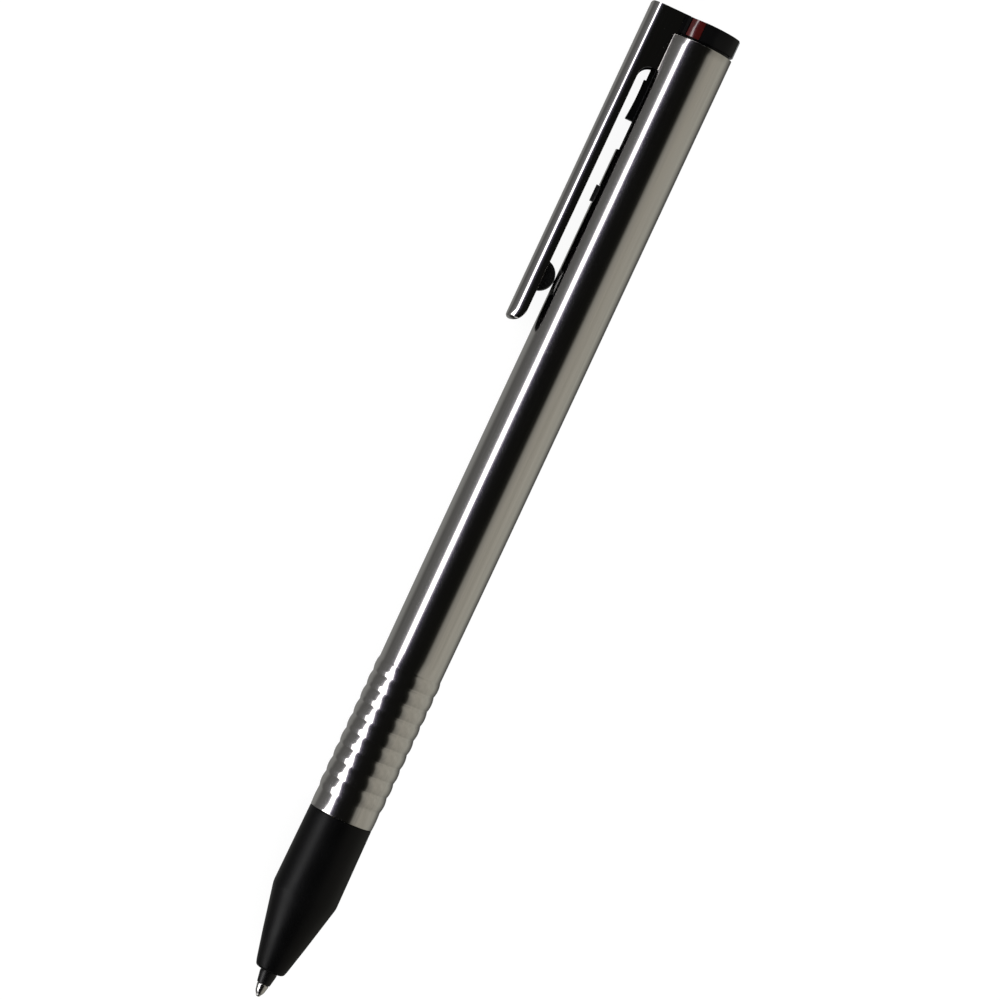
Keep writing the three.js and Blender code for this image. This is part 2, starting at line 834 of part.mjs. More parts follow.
function inChannel(solid, colour) {
  return around(solid.translate([pitchRadius, 0, 0]), channelAngles[colour]);
}

add('barrel_tube', barrelTube(), steel);
add('thread_bush', threadBush(), brass);
add('nose_cone', noseCone(), mattBlack);
add('refill_guide', refillGuide(), whitePlastic);
add('spring_plate', springPlate(), brass);
add('mechanism_cage', mechanismCage(), blackPlastic);
add('push_cap', pushCap(), blackPlastic);
add('mark_red', around(markBlock(), markAngles.red), redPlastic);
add('mark_grey', around(markBlock(), markAngles.grey), greyPlastic);
add('mark_white', around(markBlock(), markAngles.white), whitePlastic);
add('selector_axle', rod(axleRadius, axleBottom, axleTop), springSteel);
add('selector_washer', selectorWasher(), steel);
add('selector_weight', selectorWeight(), brass);
add('selector_finger', selectorFinger(), steel);
add('cap_spring', capSpring(), springSteel);
add('clip', channelClip(), steel);
add('clip_pad', clipPad(), blackPlastic);
add('clip_pin', crossPin(pinRadius, clipWidth - restGap, pinPlace, pinZ), steel);
add('clip_spring', radialSpring(), springSteel);
add('release_lever', releaseLever(), blackPlastic);

add('black_slider', inChannel(slider(refillTravel), 'black'), blackPlastic);
add('black_spring', inChannel(returnSpring(refillTravel), 'black'), springSteel);
add('black_tube', around(bentTube(outShoulder, outTop), channelAngles.black), blackPlastic);
add('black_holder', holder(outTip), blackPlastic);
add('black_point', point(outTip), nickel);

add('red_slider', inChannel(slider(0), 'red'), redPlastic);
add('red_spring', inChannel(returnSpring(0), 'red'), springSteel);
add('red_tube', inChannel(straightTube(parkedShoulder, parkedTop), 'red'), redPlastic);
add('red_holder', inChannel(holder(parkedTip), 'red'), redPlastic);
add('red_point', inChannel(point(parkedTip), 'red'), nickel);

add('pencil_slider', inChannel(slider(0), 'pencil'), greyPlastic);
add('pencil_spring', inChannel(returnSpring(0), 'pencil'), springSteel);
add('pencil_tube', inChannel(pencilTube(), 'pencil'), steel);
add('pencil_nozzle', inChannel(pencilNozzle(), 'pencil'), steel);
add('pencil_chuck', inChannel(pencilChuck(), 'pencil'), brass);
add('pencil_lead', inChannel(pencilLead(), 'pencil'), graphite);

// Laid down on the grip and the clip's back, with the origin below the middle of its box
const [c, s] = [Math.cos(layAngle), Math.sin(layAngle)];
const lay = new THREE.Matrix4().makeBasis(
  new THREE.Vector3(0, -c, -s),
  new THREE.Vector3(0, -s, c),
  new THREE.Vector3(-1, 0, 0),
);
pen.quaternion.setFromRotationMatrix(lay);
pen.updateMatrixWorld(true);
const box = new THREE.Box3().setFromObject(pen, true);
const middle = box.getCenter(new THREE.Vector3());
pen.position.set(-middle.x, -middle.y, -box.min.z);

export default pen;
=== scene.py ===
import json
import math

import bmesh
import bpy
from mathutils import Matrix, Vector


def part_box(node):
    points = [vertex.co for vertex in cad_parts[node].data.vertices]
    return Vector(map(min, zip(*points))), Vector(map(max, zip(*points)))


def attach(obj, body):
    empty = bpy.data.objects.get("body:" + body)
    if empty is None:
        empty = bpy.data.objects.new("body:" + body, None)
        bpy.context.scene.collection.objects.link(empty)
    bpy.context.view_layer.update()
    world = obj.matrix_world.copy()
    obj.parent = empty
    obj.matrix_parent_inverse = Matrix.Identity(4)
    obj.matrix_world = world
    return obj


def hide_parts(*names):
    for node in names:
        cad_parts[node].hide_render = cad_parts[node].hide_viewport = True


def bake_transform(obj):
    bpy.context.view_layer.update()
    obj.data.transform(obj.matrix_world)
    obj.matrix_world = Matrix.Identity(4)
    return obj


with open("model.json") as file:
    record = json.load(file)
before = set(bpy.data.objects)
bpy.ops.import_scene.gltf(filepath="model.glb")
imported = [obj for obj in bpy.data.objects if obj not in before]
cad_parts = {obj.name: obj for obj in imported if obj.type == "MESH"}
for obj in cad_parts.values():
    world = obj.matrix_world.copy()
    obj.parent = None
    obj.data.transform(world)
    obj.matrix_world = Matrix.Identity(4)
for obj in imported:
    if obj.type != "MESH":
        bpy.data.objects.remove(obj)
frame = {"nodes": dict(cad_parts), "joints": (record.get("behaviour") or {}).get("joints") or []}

# A slim multifunction pen, lying on the edge of its nose and on its clip.
#
# Each piece is drawn upright in millimetres, as the pen stands on its nose: heights run up the axis from the
# nose's end face, x points to the clip, and y is a quarter turn from it. The matrix LAY puts it in its place.

bpy.context.view_layer.update()
nodes = frame["nodes"]

# Directions and place of the pen, from the clip's hinge, the selector's axle and the nose
hinge = next(joint for joint in frame["joints"] if joint["name"] == "clip_lift")
MM = 0.001
UP_PEN = Vector((-1, 0, 0))
SIDE = -Vector(hinge["axis"]).normalized()
TO_CLIP = SIDE.cross(UP_PEN)
axle_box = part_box("selector_axle")
nose_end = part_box("nose_cone")[1].x
AXIS = (axle_box[0] + axle_box[1]) / 2
LAY = Matrix((
    (TO_CLIP.x * MM, SIDE.x * MM, UP_PEN.x * MM, nose_end),
    (TO_CLIP.y * MM, SIDE.y * MM, UP_PEN.y * MM, AXIS.y),
    (TO_CLIP.z * MM, SIDE.z * MM, UP_PEN.z * MM, AXIS.z),
    (0, 0, 0, 1),
))


def height_range(node):
    """The lowest and highest point of a CAD node along the upright pen."""
    low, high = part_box(node)
    return (nose_end - high.x) / MM, (nose_end - low.x) / MM


# Sizes of the pen, in millimetres
SEAT_GAP = 0.15
REST_GAP = 0.1
OVERLAP = 0.2  # of solids that are joined into one
NOSE_LENGTH = height_range("nose_cone")[1]
BARREL_BOTTOM, RIM = height_range("barrel_tube")
BARREL_RADIUS = 4.41
SHEET = 0.36
BORE_RADIUS = BARREL_RADIUS - SHEET
GRIP_RADIUS = 4.32
GRIP_BAND = 2.78
GRIP_BULGE = 0.05
RING_COUNT = 9
RING_PITCH = 2.062
RING_RISE = 0.16
TAPER_LENGTH = 33.4
SLOT_WIDTH = 4.3
SLOT_BOTTOM = RIM - 16.5
WINDOW_WIDTH = 2.4
WINDOW_BOTTOM = RIM - 24.1
WINDOW_TOP = RIM - 21.6

NOSE_END_RADIUS = 2.075
NOSE_EDGE_RADIUS = 4.482
NOSE_TOP_RADIUS = 4.34
NOSE_CONE = 10.85
NOSE_EDGE_BLEND = 0.35
NOSE_LIP = 0.5
NOSE_JOINT = 0.11  # by which the nose closes up to the barrel's end
NOSE_HOLE_RADIUS = 1.25
NOSE_BORE = 3.91
NOSE_BORE_BOTTOM = 12.0
NOSE_INSIDE = [(3.5, NOSE_BORE_BOTTOM), (3.52, 8.25), (2.48, 3.8), (NOSE_HOLE_RADIUS, 1.5)]

CAP_NECK_BOTTOM, CAP_TOP = height_range("push_cap")
CAP_HEAD_BOTTOM = RIM + 0.35
CAP_RADIUS = 4.38
CAP_FLAT = 3.0
CAP_BORE = 2.5
CAP_BORE_TOP = CAP_TOP - 1.6
CAP_NOTCH_HEIGHT = 1.2
CAP_NOTCH_DEPTH = 0.3
CAP_EDGE = 0.18
CAP_CROWN = 0.045
CAP_DROP = 0.14  # of the crown towards its edge
MARK_SPAN = 26.5  # degrees
MARK_ROUND = 2.2  # radius of a mark's outer face
MARK_DEPTH = 0.5
MARK_ANGLES = {"mark_red": 68.2, "mark_grey": 180, "mark_white": -68.2}  # degrees from the clip
RAIL_PLACE = 2.13
RAIL_WIDTH = 0.5
RAIL_HEIGHT = 0.4

CLIP_BOTTOM, CLIP_TOP = height_range("clip")
CLIP_BACK = 8.3
CLIP_UNDER = 5.95
CLIP_WIDTH = 4.1
CLIP_WALL = 0.45
CLIP_HEAD_BOTTOM = CLIP_TOP - 8.1
CLIP_HEAD_REACH = 3.1
CLIP_HEAD_SET_BACK = 0.23
CLIP_NOTCH = 1.5
CLIP_END = 2.1
CLIP_CORNER = 0.4
CLIP_END_CORNER = 0.6
CLIP_END_STEPS = 18
PIN_PLACE = 4.1
PIN_HEIGHT = RIM - 1.9
PIN_RADIUS = 0.4
PAD_RADIUS = 2.1
PAD_HEIGHT = RIM - 35.4
PAD_PLACE = BARREL_RADIUS + 0.01 + PAD_RADIUS
PAD_WIDTH = 2.9
LEVER_WIDTH = 1.6
LEVER_EYE = 0.8
LUG_TOP = RIM - 6.9
LUG_BOTTOM = LUG_TOP - 5.5
LUG_RISE_BELOW, LUG_RISE_BETWEEN, LUG_RISE_ABOVE = 0.62, 0.33, 0.49  # over the barrel
STEM_RISE = 0.19
TONGUE_THICKNESS = 0.9

REFILL_RADIUS = 1.1
OUT_TIP = height_range("black_point")[0]
POINT_LENGTH = 1.83
POINT_RADIUS = 0.79
POINT_SHANK_RADIUS = 0.42
BALL_RADIUS = 0.36
HOLDER_TAPER = 1.87
HOLDER_BODY = 3.2
HOLDER_RADIUS = 1.14
HOLDER_RIM_RADIUS = 1.167
HOLDER_END_RADIUS = 0.92
WIRE = 0.32  # of the long springs
CLIP_WIRE = 0.28
COIL_INSET = 0.01
THREAD_MARGIN = 0.3


# Meshes
def new_object(name, data):
    thing = bpy.data.objects.new(name, data)
    bpy.context.scene.collection.objects.link(thing)
    return thing


def plain_object(name, bm):
    """A new object from a bmesh as it is."""
    mesh = bpy.data.meshes.new(name)
    bm.to_mesh(mesh)
    bm.free()
    return new_object(name, mesh)


def mesh_object(name, bm, sharp=40):
    """A new solid from a bmesh, with its edges above the given angle kept sharp."""
    bmesh.ops.recalc_face_normals(bm, faces=bm.faces)
    for face in bm.faces:
        face.smooth = True
    thing = plain_object(name, bm)
    thing.data.set_sharp_from_angle(angle=math.radians(sharp))
    return thing


def bake(thing, sharp=40):
    """Applies the object's modifiers."""
    graph = bpy.context.evaluated_depsgraph_get()
    mesh = bpy.data.meshes.new_from_object(thing.evaluated_get(graph))
    old = thing.data
    thing.modifiers.clear()
    thing.data = mesh
    bpy.data.meshes.remove(old)
    mesh.polygons.foreach_set("use_smooth", [True] * len(mesh.polygons))
    mesh.set_sharp_from_angle(angle=math.radians(sharp))
    return thing


def round_edges(thing, width, steps=3, angle=40, sharp=40):
    """Rounds every edge that is sharper than the angle."""
    bevel = thing.modifiers.new("edges", "BEVEL")
    bevel.width = width
    bevel.segments = steps
    bevel.limit_method = "ANGLE"
    bevel.angle_limit = math.radians(angle)
    bevel.use_clamp_overlap = True
    return bake(thing, sharp)


def new_ring(bm, radius, height, angles):
    """A ring of vertices about the pen's axis, at angles in radians."""
    return [bm.verts.new((radius * math.cos(angle), radius * math.sin(angle), height)) for angle in angles]


def lathe(name, outline, segments=96, sharp=40):
    """A closed solid of revolution from its [radius, height] outline. Points on the axis become poles."""
    bm = bmesh.new()
    angles = [2 * math.pi * step / segments for step in range(segments)]
    rings = []
    for radius, height in outline:
        on_axis = radius < 1e-6
        rings.append([bm.verts.new((0, 0, height))] if on_axis else new_ring(bm, radius, height, angles))
    pairs = list(zip(rings, rings[1:]))
    if len(rings[0]) > 1 or len(rings[-1]) > 1:
        pairs.append((rings[-1], rings[0]))
    for low, high in pairs:
        for step in range(segments):
            after = (step + 1) % segments
            if len(low) > 1 and len(high) > 1:
                bm.faces.new((low[step], low[after], high[after], high[step]))
            elif len(low) > 1:
                bm.faces.new((low[step], low[after], high[0]))
            elif len(high) > 1:
                bm.faces.new((low[0], high[after], high[step]))
    return mesh_object(name, bm, sharp)


def arc(centre, radius, start, end, steps):
    """Points on an arc, with its angles in degrees."""
    points = []
    for step in range(steps + 1):
        angle = math.radians(start + (end - start) * step / steps)
        points.append((centre[0] + radius * math.cos(angle), centre[1] + radius * math.sin(angle)))
    return points


def curve(start, control, end, steps):
    """Points on a quadratic curve."""
    points = []
    for step in range(steps + 1):
        t = step / steps
        weights = ((1 - t) ** 2, 2 * t * (1 - t), t * t)
        points.append(tuple(
            weights[0] * start[i] + weights[1] * control[i] + weights[2] * end[i] for i in (0, 1)
        ))
    return points


def rectangle(left, low, right, high):
    return [(left, low), (right, low), (right, high), (left, high)]


def prism(name, outline, low, high, along="z"):
    """An outline raised between two levels along z or y, and drawn in the other two directions."""
    bm = bmesh.new()
    ends = []
    for level in (low, high):
        ends.append([bm.verts.new((a, level, b) if along == "y" else (a, b, level)) for a, b in outline])
    bottom, top = ends
    bm.faces.new(bottom)
    bm.faces.new(top)
    for step in range(len(outline)):
        after = (step + 1) % len(outline)
        bm.faces.new((bottom[step], bottom[after], top[after], top[step]))
    bmesh.ops.remove_doubles(bm, verts=bm.verts, dist=1e-5)
    return mesh_object(name, bm)


def combine(thing, tool, operation):
    """Joins, cuts or keeps what two solids share, and removes the second one."""
    cut = thing.modifiers.new("cut", "BOOLEAN")
    cut.operation = operation
    cut.solver = "EXACT"
    cut.object = tool
    bpy.context.view_layer.update()
    bake(thing)
    bpy.data.objects.remove(tool)


def cross_rod(name, radius, length, x, height, segments=48):
    """A round rod across the pen."""
    outline = arc((x, height), radius, 0, 360 - 360 / segments, segments - 1)
    return prism(name, outline, -length / 2, length / 2, "y")


def turn(thing, angle):
    """Turns a piece about the pen's axis, by degrees."""
    thing.data.transform(Matrix.Rotation(math.radians(angle), 4, "Z"))
    return thing


def lay(thing, material, slot, *replaced):
    """Lays a finished piece in its place, gives it its material and hides the CAD parts that it replaces."""
    thing.data.transform(LAY)
    thing.data.update()
    thing.data.materials.clear()
    thing.data.materials.append(material)
    if replaced:
        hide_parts(*replaced)


def place(thing, body, material, slot, *replaced):
    """Lays a piece that moves with one body."""
    lay(thing, material, slot, *replaced)
    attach(thing, body)
    return thing


# Nodes
def feed(tree, node, values):
    """Gives each named input of a node a plain value, or the link from another node's output."""
    for label, value in values.items():
        if isinstance(value, bpy.types.NodeSocket):
            tree.links.new(value, node.inputs[label])
        else:
            node.inputs[label].default_value = value
    return node


def new_node(tree, kind, values):
    return feed(tree, tree.nodes.new(kind), values)


def math_node(tree, operation, *values):
    node = tree.nodes.new("ShaderNodeMath")
    node.operation = operation
    return feed(tree, node, dict(enumerate(values))).outputs[0]


def times(tree, first, second):
    return math_node(tree, "MULTIPLY", first, second)


def total(tree, first, *others):
    for other in others:
        first = math_node(tree, "ADD", first, other)
    return first


def vector_node(tree, operation, first, second):
    node = tree.nodes.new("ShaderNodeVectorMath")
    node.operation = operation
    return feed(tree, node, {0: first, 1: second})


def noise_node(tree, vector, scale, detail, roughness=0.5):
    values = {"Vector": vector, "Scale": scale, "Detail": detail, "Roughness": roughness}
    return new_node(tree, "ShaderNodeTexNoise", values).outputs["Fac"]


def remap(tree, value, low, high, to_low, to_high):
    values = {"Value": value, "From Min": low, "From Max": high, "To Min": to_low, "To Max": to_high}
    return new_node(tree, "ShaderNodeMapRange", values).outputs["Result"]


def mix_node(tree, factor, first, second, kind="FLOAT", blend="MIX"):
    node = tree.nodes.new("ShaderNodeMix")
    node.data_type = kind
    node.blend_type = blend
    return feed(tree, node, {"Factor": factor, "A": first, "B": second}).outputs["Result"]


# Shader groups
def new_group(name, inputs, outputs):
    """A shader group that takes a vector and some numbers, and puts out numbers."""
    group = bpy.data.node_groups.new(name, "ShaderNodeTree")
    group.interface.new_socket("Vector", in_out="INPUT", socket_type="NodeSocketVector")
    for label, value in inputs.items():
        socket = group.interface.new_socket(label, in_out="INPUT", socket_type="NodeSocketFloat")
        socket.default_value = value
    for label in outputs:
        group.interface.new_socket(label, in_out="OUTPUT", socket_type="NodeSocketFloat")
    return group, group.nodes.new("NodeGroupInput").outputs, group.nodes.new("NodeGroupOutput")


def group_node(tree, group, values):
    node = tree.nodes.new("ShaderNodeGroup")
    node.node_tree = group
    return feed(tree, node, values).outputs


def make_drawn_lines():
    """Fine lines along the pen, as drawing and polishing leave them on steel."""
    numbers = {"Fineness": 9000.0, "Length": 0.012, "Smooth": 0.08, "Rough": 0.14}
    group, start, end = new_group("drawn lines", numbers, ("Roughness", "Height"))
    factors = new_node(group, "ShaderNodeCombineXYZ", {"X": start["Length"], "Y": 1.0, "Z": 1.0})
    stretched = vector_node(group, "MULTIPLY", start["Vector"], factors.outputs[0]).outputs[0]
    lines = noise_node(group, stretched, start["Fineness"], 3.0, 0.6)
    smudges = noise_node(group, start["Vector"], 120.0, 2.0)
    both = total(group, times(group, lines, 0.7), times(group, smudges, 0.3))
    rough = remap(group, both, 0.35, 0.65, start["Smooth"], start["Rough"])
    feed(group, end, {"Roughness": rough, "Height": lines})
    return group


def make_moulded_skin():
    """The even grain and faint wear of moulded plastic."""
    numbers = {"Grain": 5000.0, "Smooth": 0.3, "Rough": 0.42}
    group, start, end = new_group("moulded skin", numbers, ("Roughness", "Height", "Shade"))
    grain = noise_node(group, start["Vector"], start["Grain"], 2.0, 0.55)
    clouds = noise_node(group, start["Vector"], 260.0, 3.0, 0.6)
    scuffs = group.nodes.new("ShaderNodeTexVoronoi")
    scuffs.feature = "DISTANCE_TO_EDGE"
    feed(group, scuffs, {"Vector": start["Vector"], "Scale": 700.0})
    lines = remap(group, scuffs.outputs["Distance"], 0.0, 0.03, 1.0, 0.0)
    wear = times(group, lines, remap(group, clouds, 0.55, 0.7, 0.0, 1.0))
    level = total(group, times(group, clouds, 0.8), times(group, wear, 0.2))
    rough = remap(group, level, 0.25, 0.6, start["Smooth"], start["Rough"])
    shade = remap(group, clouds, 0.3, 0.7, 0.82, 1.12)
    feed(group, end, {"Roughness": rough, "Height": grain, "Shade": shade})
    return group


DRAWN_LINES = make_drawn_lines()
MOULDED_SKIN = make_moulded_skin()


# Materials
def new_material(name):
    material = bpy.data.materials.new(name)
    material.use_nodes = True
    tree = material.node_tree
    shader = next(node for node in tree.nodes if node.type == "BSDF_PRINCIPLED")
    return material, tree, shader


def object_coordinates(tree):
    return tree.nodes.new("ShaderNodeTexCoord").outputs["Object"]


def bumps(tree, height, strength, distance):
    values = {"Height": height, "Strength": strength, "Distance": distance}
    return new_node(tree, "ShaderNodeBump", values).outputs["Normal"]


PAINTED_SHADE_INSIDE = (0.02, 0.02, 0.02, 1)  # painted shade: near-black colour of the bent sheet's inside, where its mask is 1
INSIDE_ROUGHNESS = 0.4  # more than the outside's
LINE_DEPTH = 0.00001
GRAIN_DEPTH = 0.00002


def metal(name, color, darker, smooth, rough, fineness, length, bump):
    """A metal with drawn or turned lines, and a colour that varies a little."""
    material, tree, shader = new_material(name)
    lines = group_node(tree, DRAWN_LINES, {
        "Vector": object_coordinates(tree), "Fineness": fineness, "Length": length,
        "Smooth": smooth, "Rough": rough,
    })
    share = remap(tree, lines["Height"], 0.35, 0.6, 0.0, 1.0)
    tint = mix_node(tree, share, (*darker, 1), (*color, 1), "RGBA")
    # Painted shade: where the inside mask is 1, the colour turns near-black and the surface rougher.
    mask = tree.nodes.new("ShaderNodeAttribute")
    mask.attribute_name = "inside"
    inside = mask.outputs["Fac"]
    feed(tree, shader, {
        "Metallic": 1.0,
        "Base Color": mix_node(tree, inside, tint, PAINTED_SHADE_INSIDE, "RGBA"),
        "Roughness": total(tree, lines["Roughness"], times(tree, inside, INSIDE_ROUGHNESS)),
        "Normal": bumps(tree, lines["Height"], bump, LINE_DEPTH),
    })
    return material


def plastic(name, color, smooth, rough, grain, bump, shine):
    """A moulded plastic."""
    material, tree, shader = new_material(name)
    skin = group_node(tree, MOULDED_SKIN, {
        "Vector": object_coordinates(tree), "Grain": grain, "Smooth": smooth, "Rough": rough,
    })
    feed(tree, shader, {
        "Base Color": mix_node(tree, 1.0, (*color, 1), skin["Shade"], "RGBA", "MULTIPLY"),
        "Roughness": skin["Roughness"],
        "Specular IOR Level": shine,
        "Normal": bumps(tree, skin["Height"], bump, GRAIN_DEPTH),
    })
    return material


# Metals by colour, darker colour, least and most roughness, and the lines' fineness, length and depth
BARREL_STEEL = metal("barrel steel", (0.64, 0.625, 0.60), (0.60, 0.585, 0.56), 0.10, 0.15, 9000.0, 0.01, 0.03)
CLIP_STEEL = metal("clip steel", (0.64, 0.625, 0.61), (0.60, 0.585, 0.57), 0.06, 0.12, 7000.0, 0.01, 0.02)
WIRE_STEEL = metal("spring wire", (0.50, 0.50, 0.50), (0.40, 0.40, 0.41), 0.22, 0.38, 12000.0, 1.0, 0.1)
TURNED_BRASS = metal("turned brass", (0.62, 0.46, 0.20), (0.52, 0.37, 0.15), 0.18, 0.32, 9000.0, 1.0, 0.08)
TURNED_NICKEL = metal("nickel silver", (0.72, 0.71, 0.69), (0.62, 0.61, 0.59), 0.12, 0.22, 14000.0, 1.0, 0.05)
# Plastics by colour, least and most roughness, grain and its depth, and shine
GLOSS_BLACK = plastic("gloss black plastic", (0.0035, 0.0035, 0.0037), 0.16, 0.24, 6000.0, 0.03, 0.1)
SATIN_BLACK = plastic("satin black plastic", (0.003, 0.003, 0.0032), 0.3, 0.42, 5000.0, 0.08, 0.3)
MATT_BLACK = plastic("matt black plastic", (0.0016, 0.0016, 0.0018), 0.36, 0.44, 4200.0, 0.12, 0.15)
PAD_BLACK = plastic("pad black plastic", (0.004, 0.004, 0.004), 0.18, 0.26, 5200.0, 0.05, 1.0)
RED_PLASTIC = plastic("red plastic", (0.058, 0.004, 0.0035), 0.11, 0.18, 1600.0, 0.15, 1.0)
GREY_PLASTIC = plastic("grey plastic", (0.24, 0.25, 0.26), 0.28, 0.4, 6000.0, 0.03, 0.5)
WHITE_PLASTIC = plastic("white plastic", (0.72, 0.71, 0.67), 0.35, 0.48, 5000.0, 0.05, 0.5)
GRAPHITE = plastic("pencil lead", (0.03, 0.03, 0.034), 0.35, 0.55, 9000.0, 0.1, 0.5)


# Barrel
def ring_outline():
    """Nine convex rings, each an arc of a circle."""
    half = RING_PITCH / 2
    radius = (half * half + RING_RISE * RING_RISE) / (2 * RING_RISE)
    sink = radius - RING_RISE
    bottom = NOSE_LENGTH + GRIP_BAND
    steps = 14
    points = []
    for ring in range(RING_COUNT):
        for step in range(steps):
            along = (step / steps) * RING_PITCH
            rise = math.sqrt(radius * radius - (along - half) ** 2) - sink
            points.append((GRIP_RADIUS + rise, bottom + ring * RING_PITCH + along))
    return points


def spread(low, high, step):
    """Even steps from low up to high, without high itself."""
    count = max(1, round((high - low) / step))
    return [low + (high - low) * i / count for i in range(count)]


def barrel_outline():
    band_top = NOSE_LENGTH + GRIP_BAND
    grip_top = band_top + RING_COUNT * RING_PITCH
    taper_top = grip_top + TAPER_LENGTH
    points = []
    for height in spread(BARREL_BOTTOM, band_top, 0.3):
        share = (height - BARREL_BOTTOM) / (band_top - BARREL_BOTTOM)
        radius = NOSE_TOP_RADIUS + (GRIP_RADIUS - NOSE_TOP_RADIUS) * share
        points.append((radius + GRIP_BULGE * math.sin(math.pi * share), height))
    points += ring_outline()
    for height in spread(grip_top, taper_top, 2.0):
        share = (height - grip_top) / TAPER_LENGTH
        eased = share * (2 - share)
        points.append((GRIP_RADIUS + (BARREL_RADIUS - GRIP_RADIUS) * eased, height))
    # The steps are short where the slot and the window are cut.
    levels = spread(taper_top, WINDOW_BOTTOM, 4.0) + spread(WINDOW_BOTTOM, WINDOW_TOP, 0.6)
    levels += spread(WINDOW_TOP, SLOT_BOTTOM, 1.2) + spread(SLOT_BOTTOM, RIM, 1.2) + [RIM]
    points += [(BARREL_RADIUS, height) for height in levels]
    return points


def barrel_tube():
    outline = barrel_outline()
    slot_half = math.degrees(math.asin(SLOT_WIDTH / 2 / BARREL_RADIUS))
    window_half = math.degrees(math.asin(WINDOW_WIDTH / 2 / BARREL_RADIUS))
    edges = [-slot_half, -window_half, window_half, slot_half, 360 - slot_half]
    angles = []
    for low, high in zip(edges, edges[1:]):
        angles += spread(low, high, 2.0)

    def is_open(angle, height):
        across = abs(angle) if angle < 180 else abs(angle - 360)
        in_slot = across < slot_half and height > SLOT_BOTTOM
        in_window = across < window_half and WINDOW_BOTTOM < height < WINDOW_TOP
        return in_slot or in_window

    bm = bmesh.new()
    turned = [math.radians(angle) for angle in angles]
    rings = [new_ring(bm, radius, height, turned) for radius, height in outline]
    ends = angles[1:] + [360 - slot_half]
    for level, (low, high) in enumerate(zip(rings, rings[1:])):
        middle = (outline[level][1] + outline[level + 1][1]) / 2
        for step, (start, end) in enumerate(zip(angles, ends)):
            after = (step + 1) % len(angles)
            if not is_open((start + end) / 2, middle):
                bm.faces.new((low[step], low[after], high[after], high[step]))
    loose = [vert for vert in bm.verts if not vert.link_faces]
    bmesh.ops.delete(bm, geom=loose, context="VERTS")
    for face in bm.faces:
        face.smooth = True
    tube = plain_object("barrel", bm)
    wall = tube.modifiers.new("wall", "SOLIDIFY")
    wall.thickness = SHEET
    wall.offset = -1
    wall.use_even_offset = True
    return round_edges(tube, 0.07, angle=60, sharp=36)


place(barrel_tube(), "barrel", BARREL_STEEL, "barrel_steel", "barrel_tube")


# Nose
def nose_cone():
    slope = (NOSE_EDGE_RADIUS - NOSE_END_RADIUS) / NOSE_CONE
    lip = arc((NOSE_END_RADIUS - NOSE_LIP, NOSE_LIP), NOSE_LIP, -90, 0, 8)
    start = NOSE_END_RADIUS + slope * NOSE_LIP
    outline = [(NOSE_HOLE_RADIUS, 0.12), (NOSE_HOLE_RADIUS + 0.12, 0.0)]
    outline += lip[:-1]
    outline += [(start, NOSE_LIP + 0.25), (start + slope * 4.0, NOSE_LIP + 4.0)]
    edge_in = (NOSE_EDGE_RADIUS - slope * NOSE_EDGE_BLEND, NOSE_CONE - NOSE_EDGE_BLEND)
    edge_out = (NOSE_EDGE_RADIUS - 0.005, NOSE_CONE + NOSE_EDGE_BLEND)
    outline += curve(edge_in, (NOSE_EDGE_RADIUS, NOSE_CONE), edge_out, 6)
    top = NOSE_LENGTH + NOSE_JOINT
    top_edge = 0.12
    outline += [(NOSE_TOP_RADIUS + 0.002, top - top_edge - 0.6)]
    outline += arc((NOSE_TOP_RADIUS - top_edge, top - top_edge), top_edge, 0, 90, 5)
    outline += [(NOSE_BORE, top), (NOSE_BORE, NOSE_BORE_BOTTOM)] + NOSE_INSIDE
    return lathe("nose", outline, 128, 30)


place(nose_cone(), "nose", MATT_BLACK, "matt_black", "nose_cone")


# Push cap and its marks
def mark_outline(outer, gap, steps):
    inner = CAP_RADIUS - MARK_DEPTH - gap
    half = MARK_SPAN / 2 + math.degrees(gap / CAP_RADIUS)
    return arc((0, 0), outer, -half, half, steps) + arc((0, 0), inner, half, -half, steps)


def d_outline(radius, flat, steps=160):
    corner = math.degrees(math.acos(flat / radius))
    return arc((0, 0), radius, corner, 360 - corner, steps)


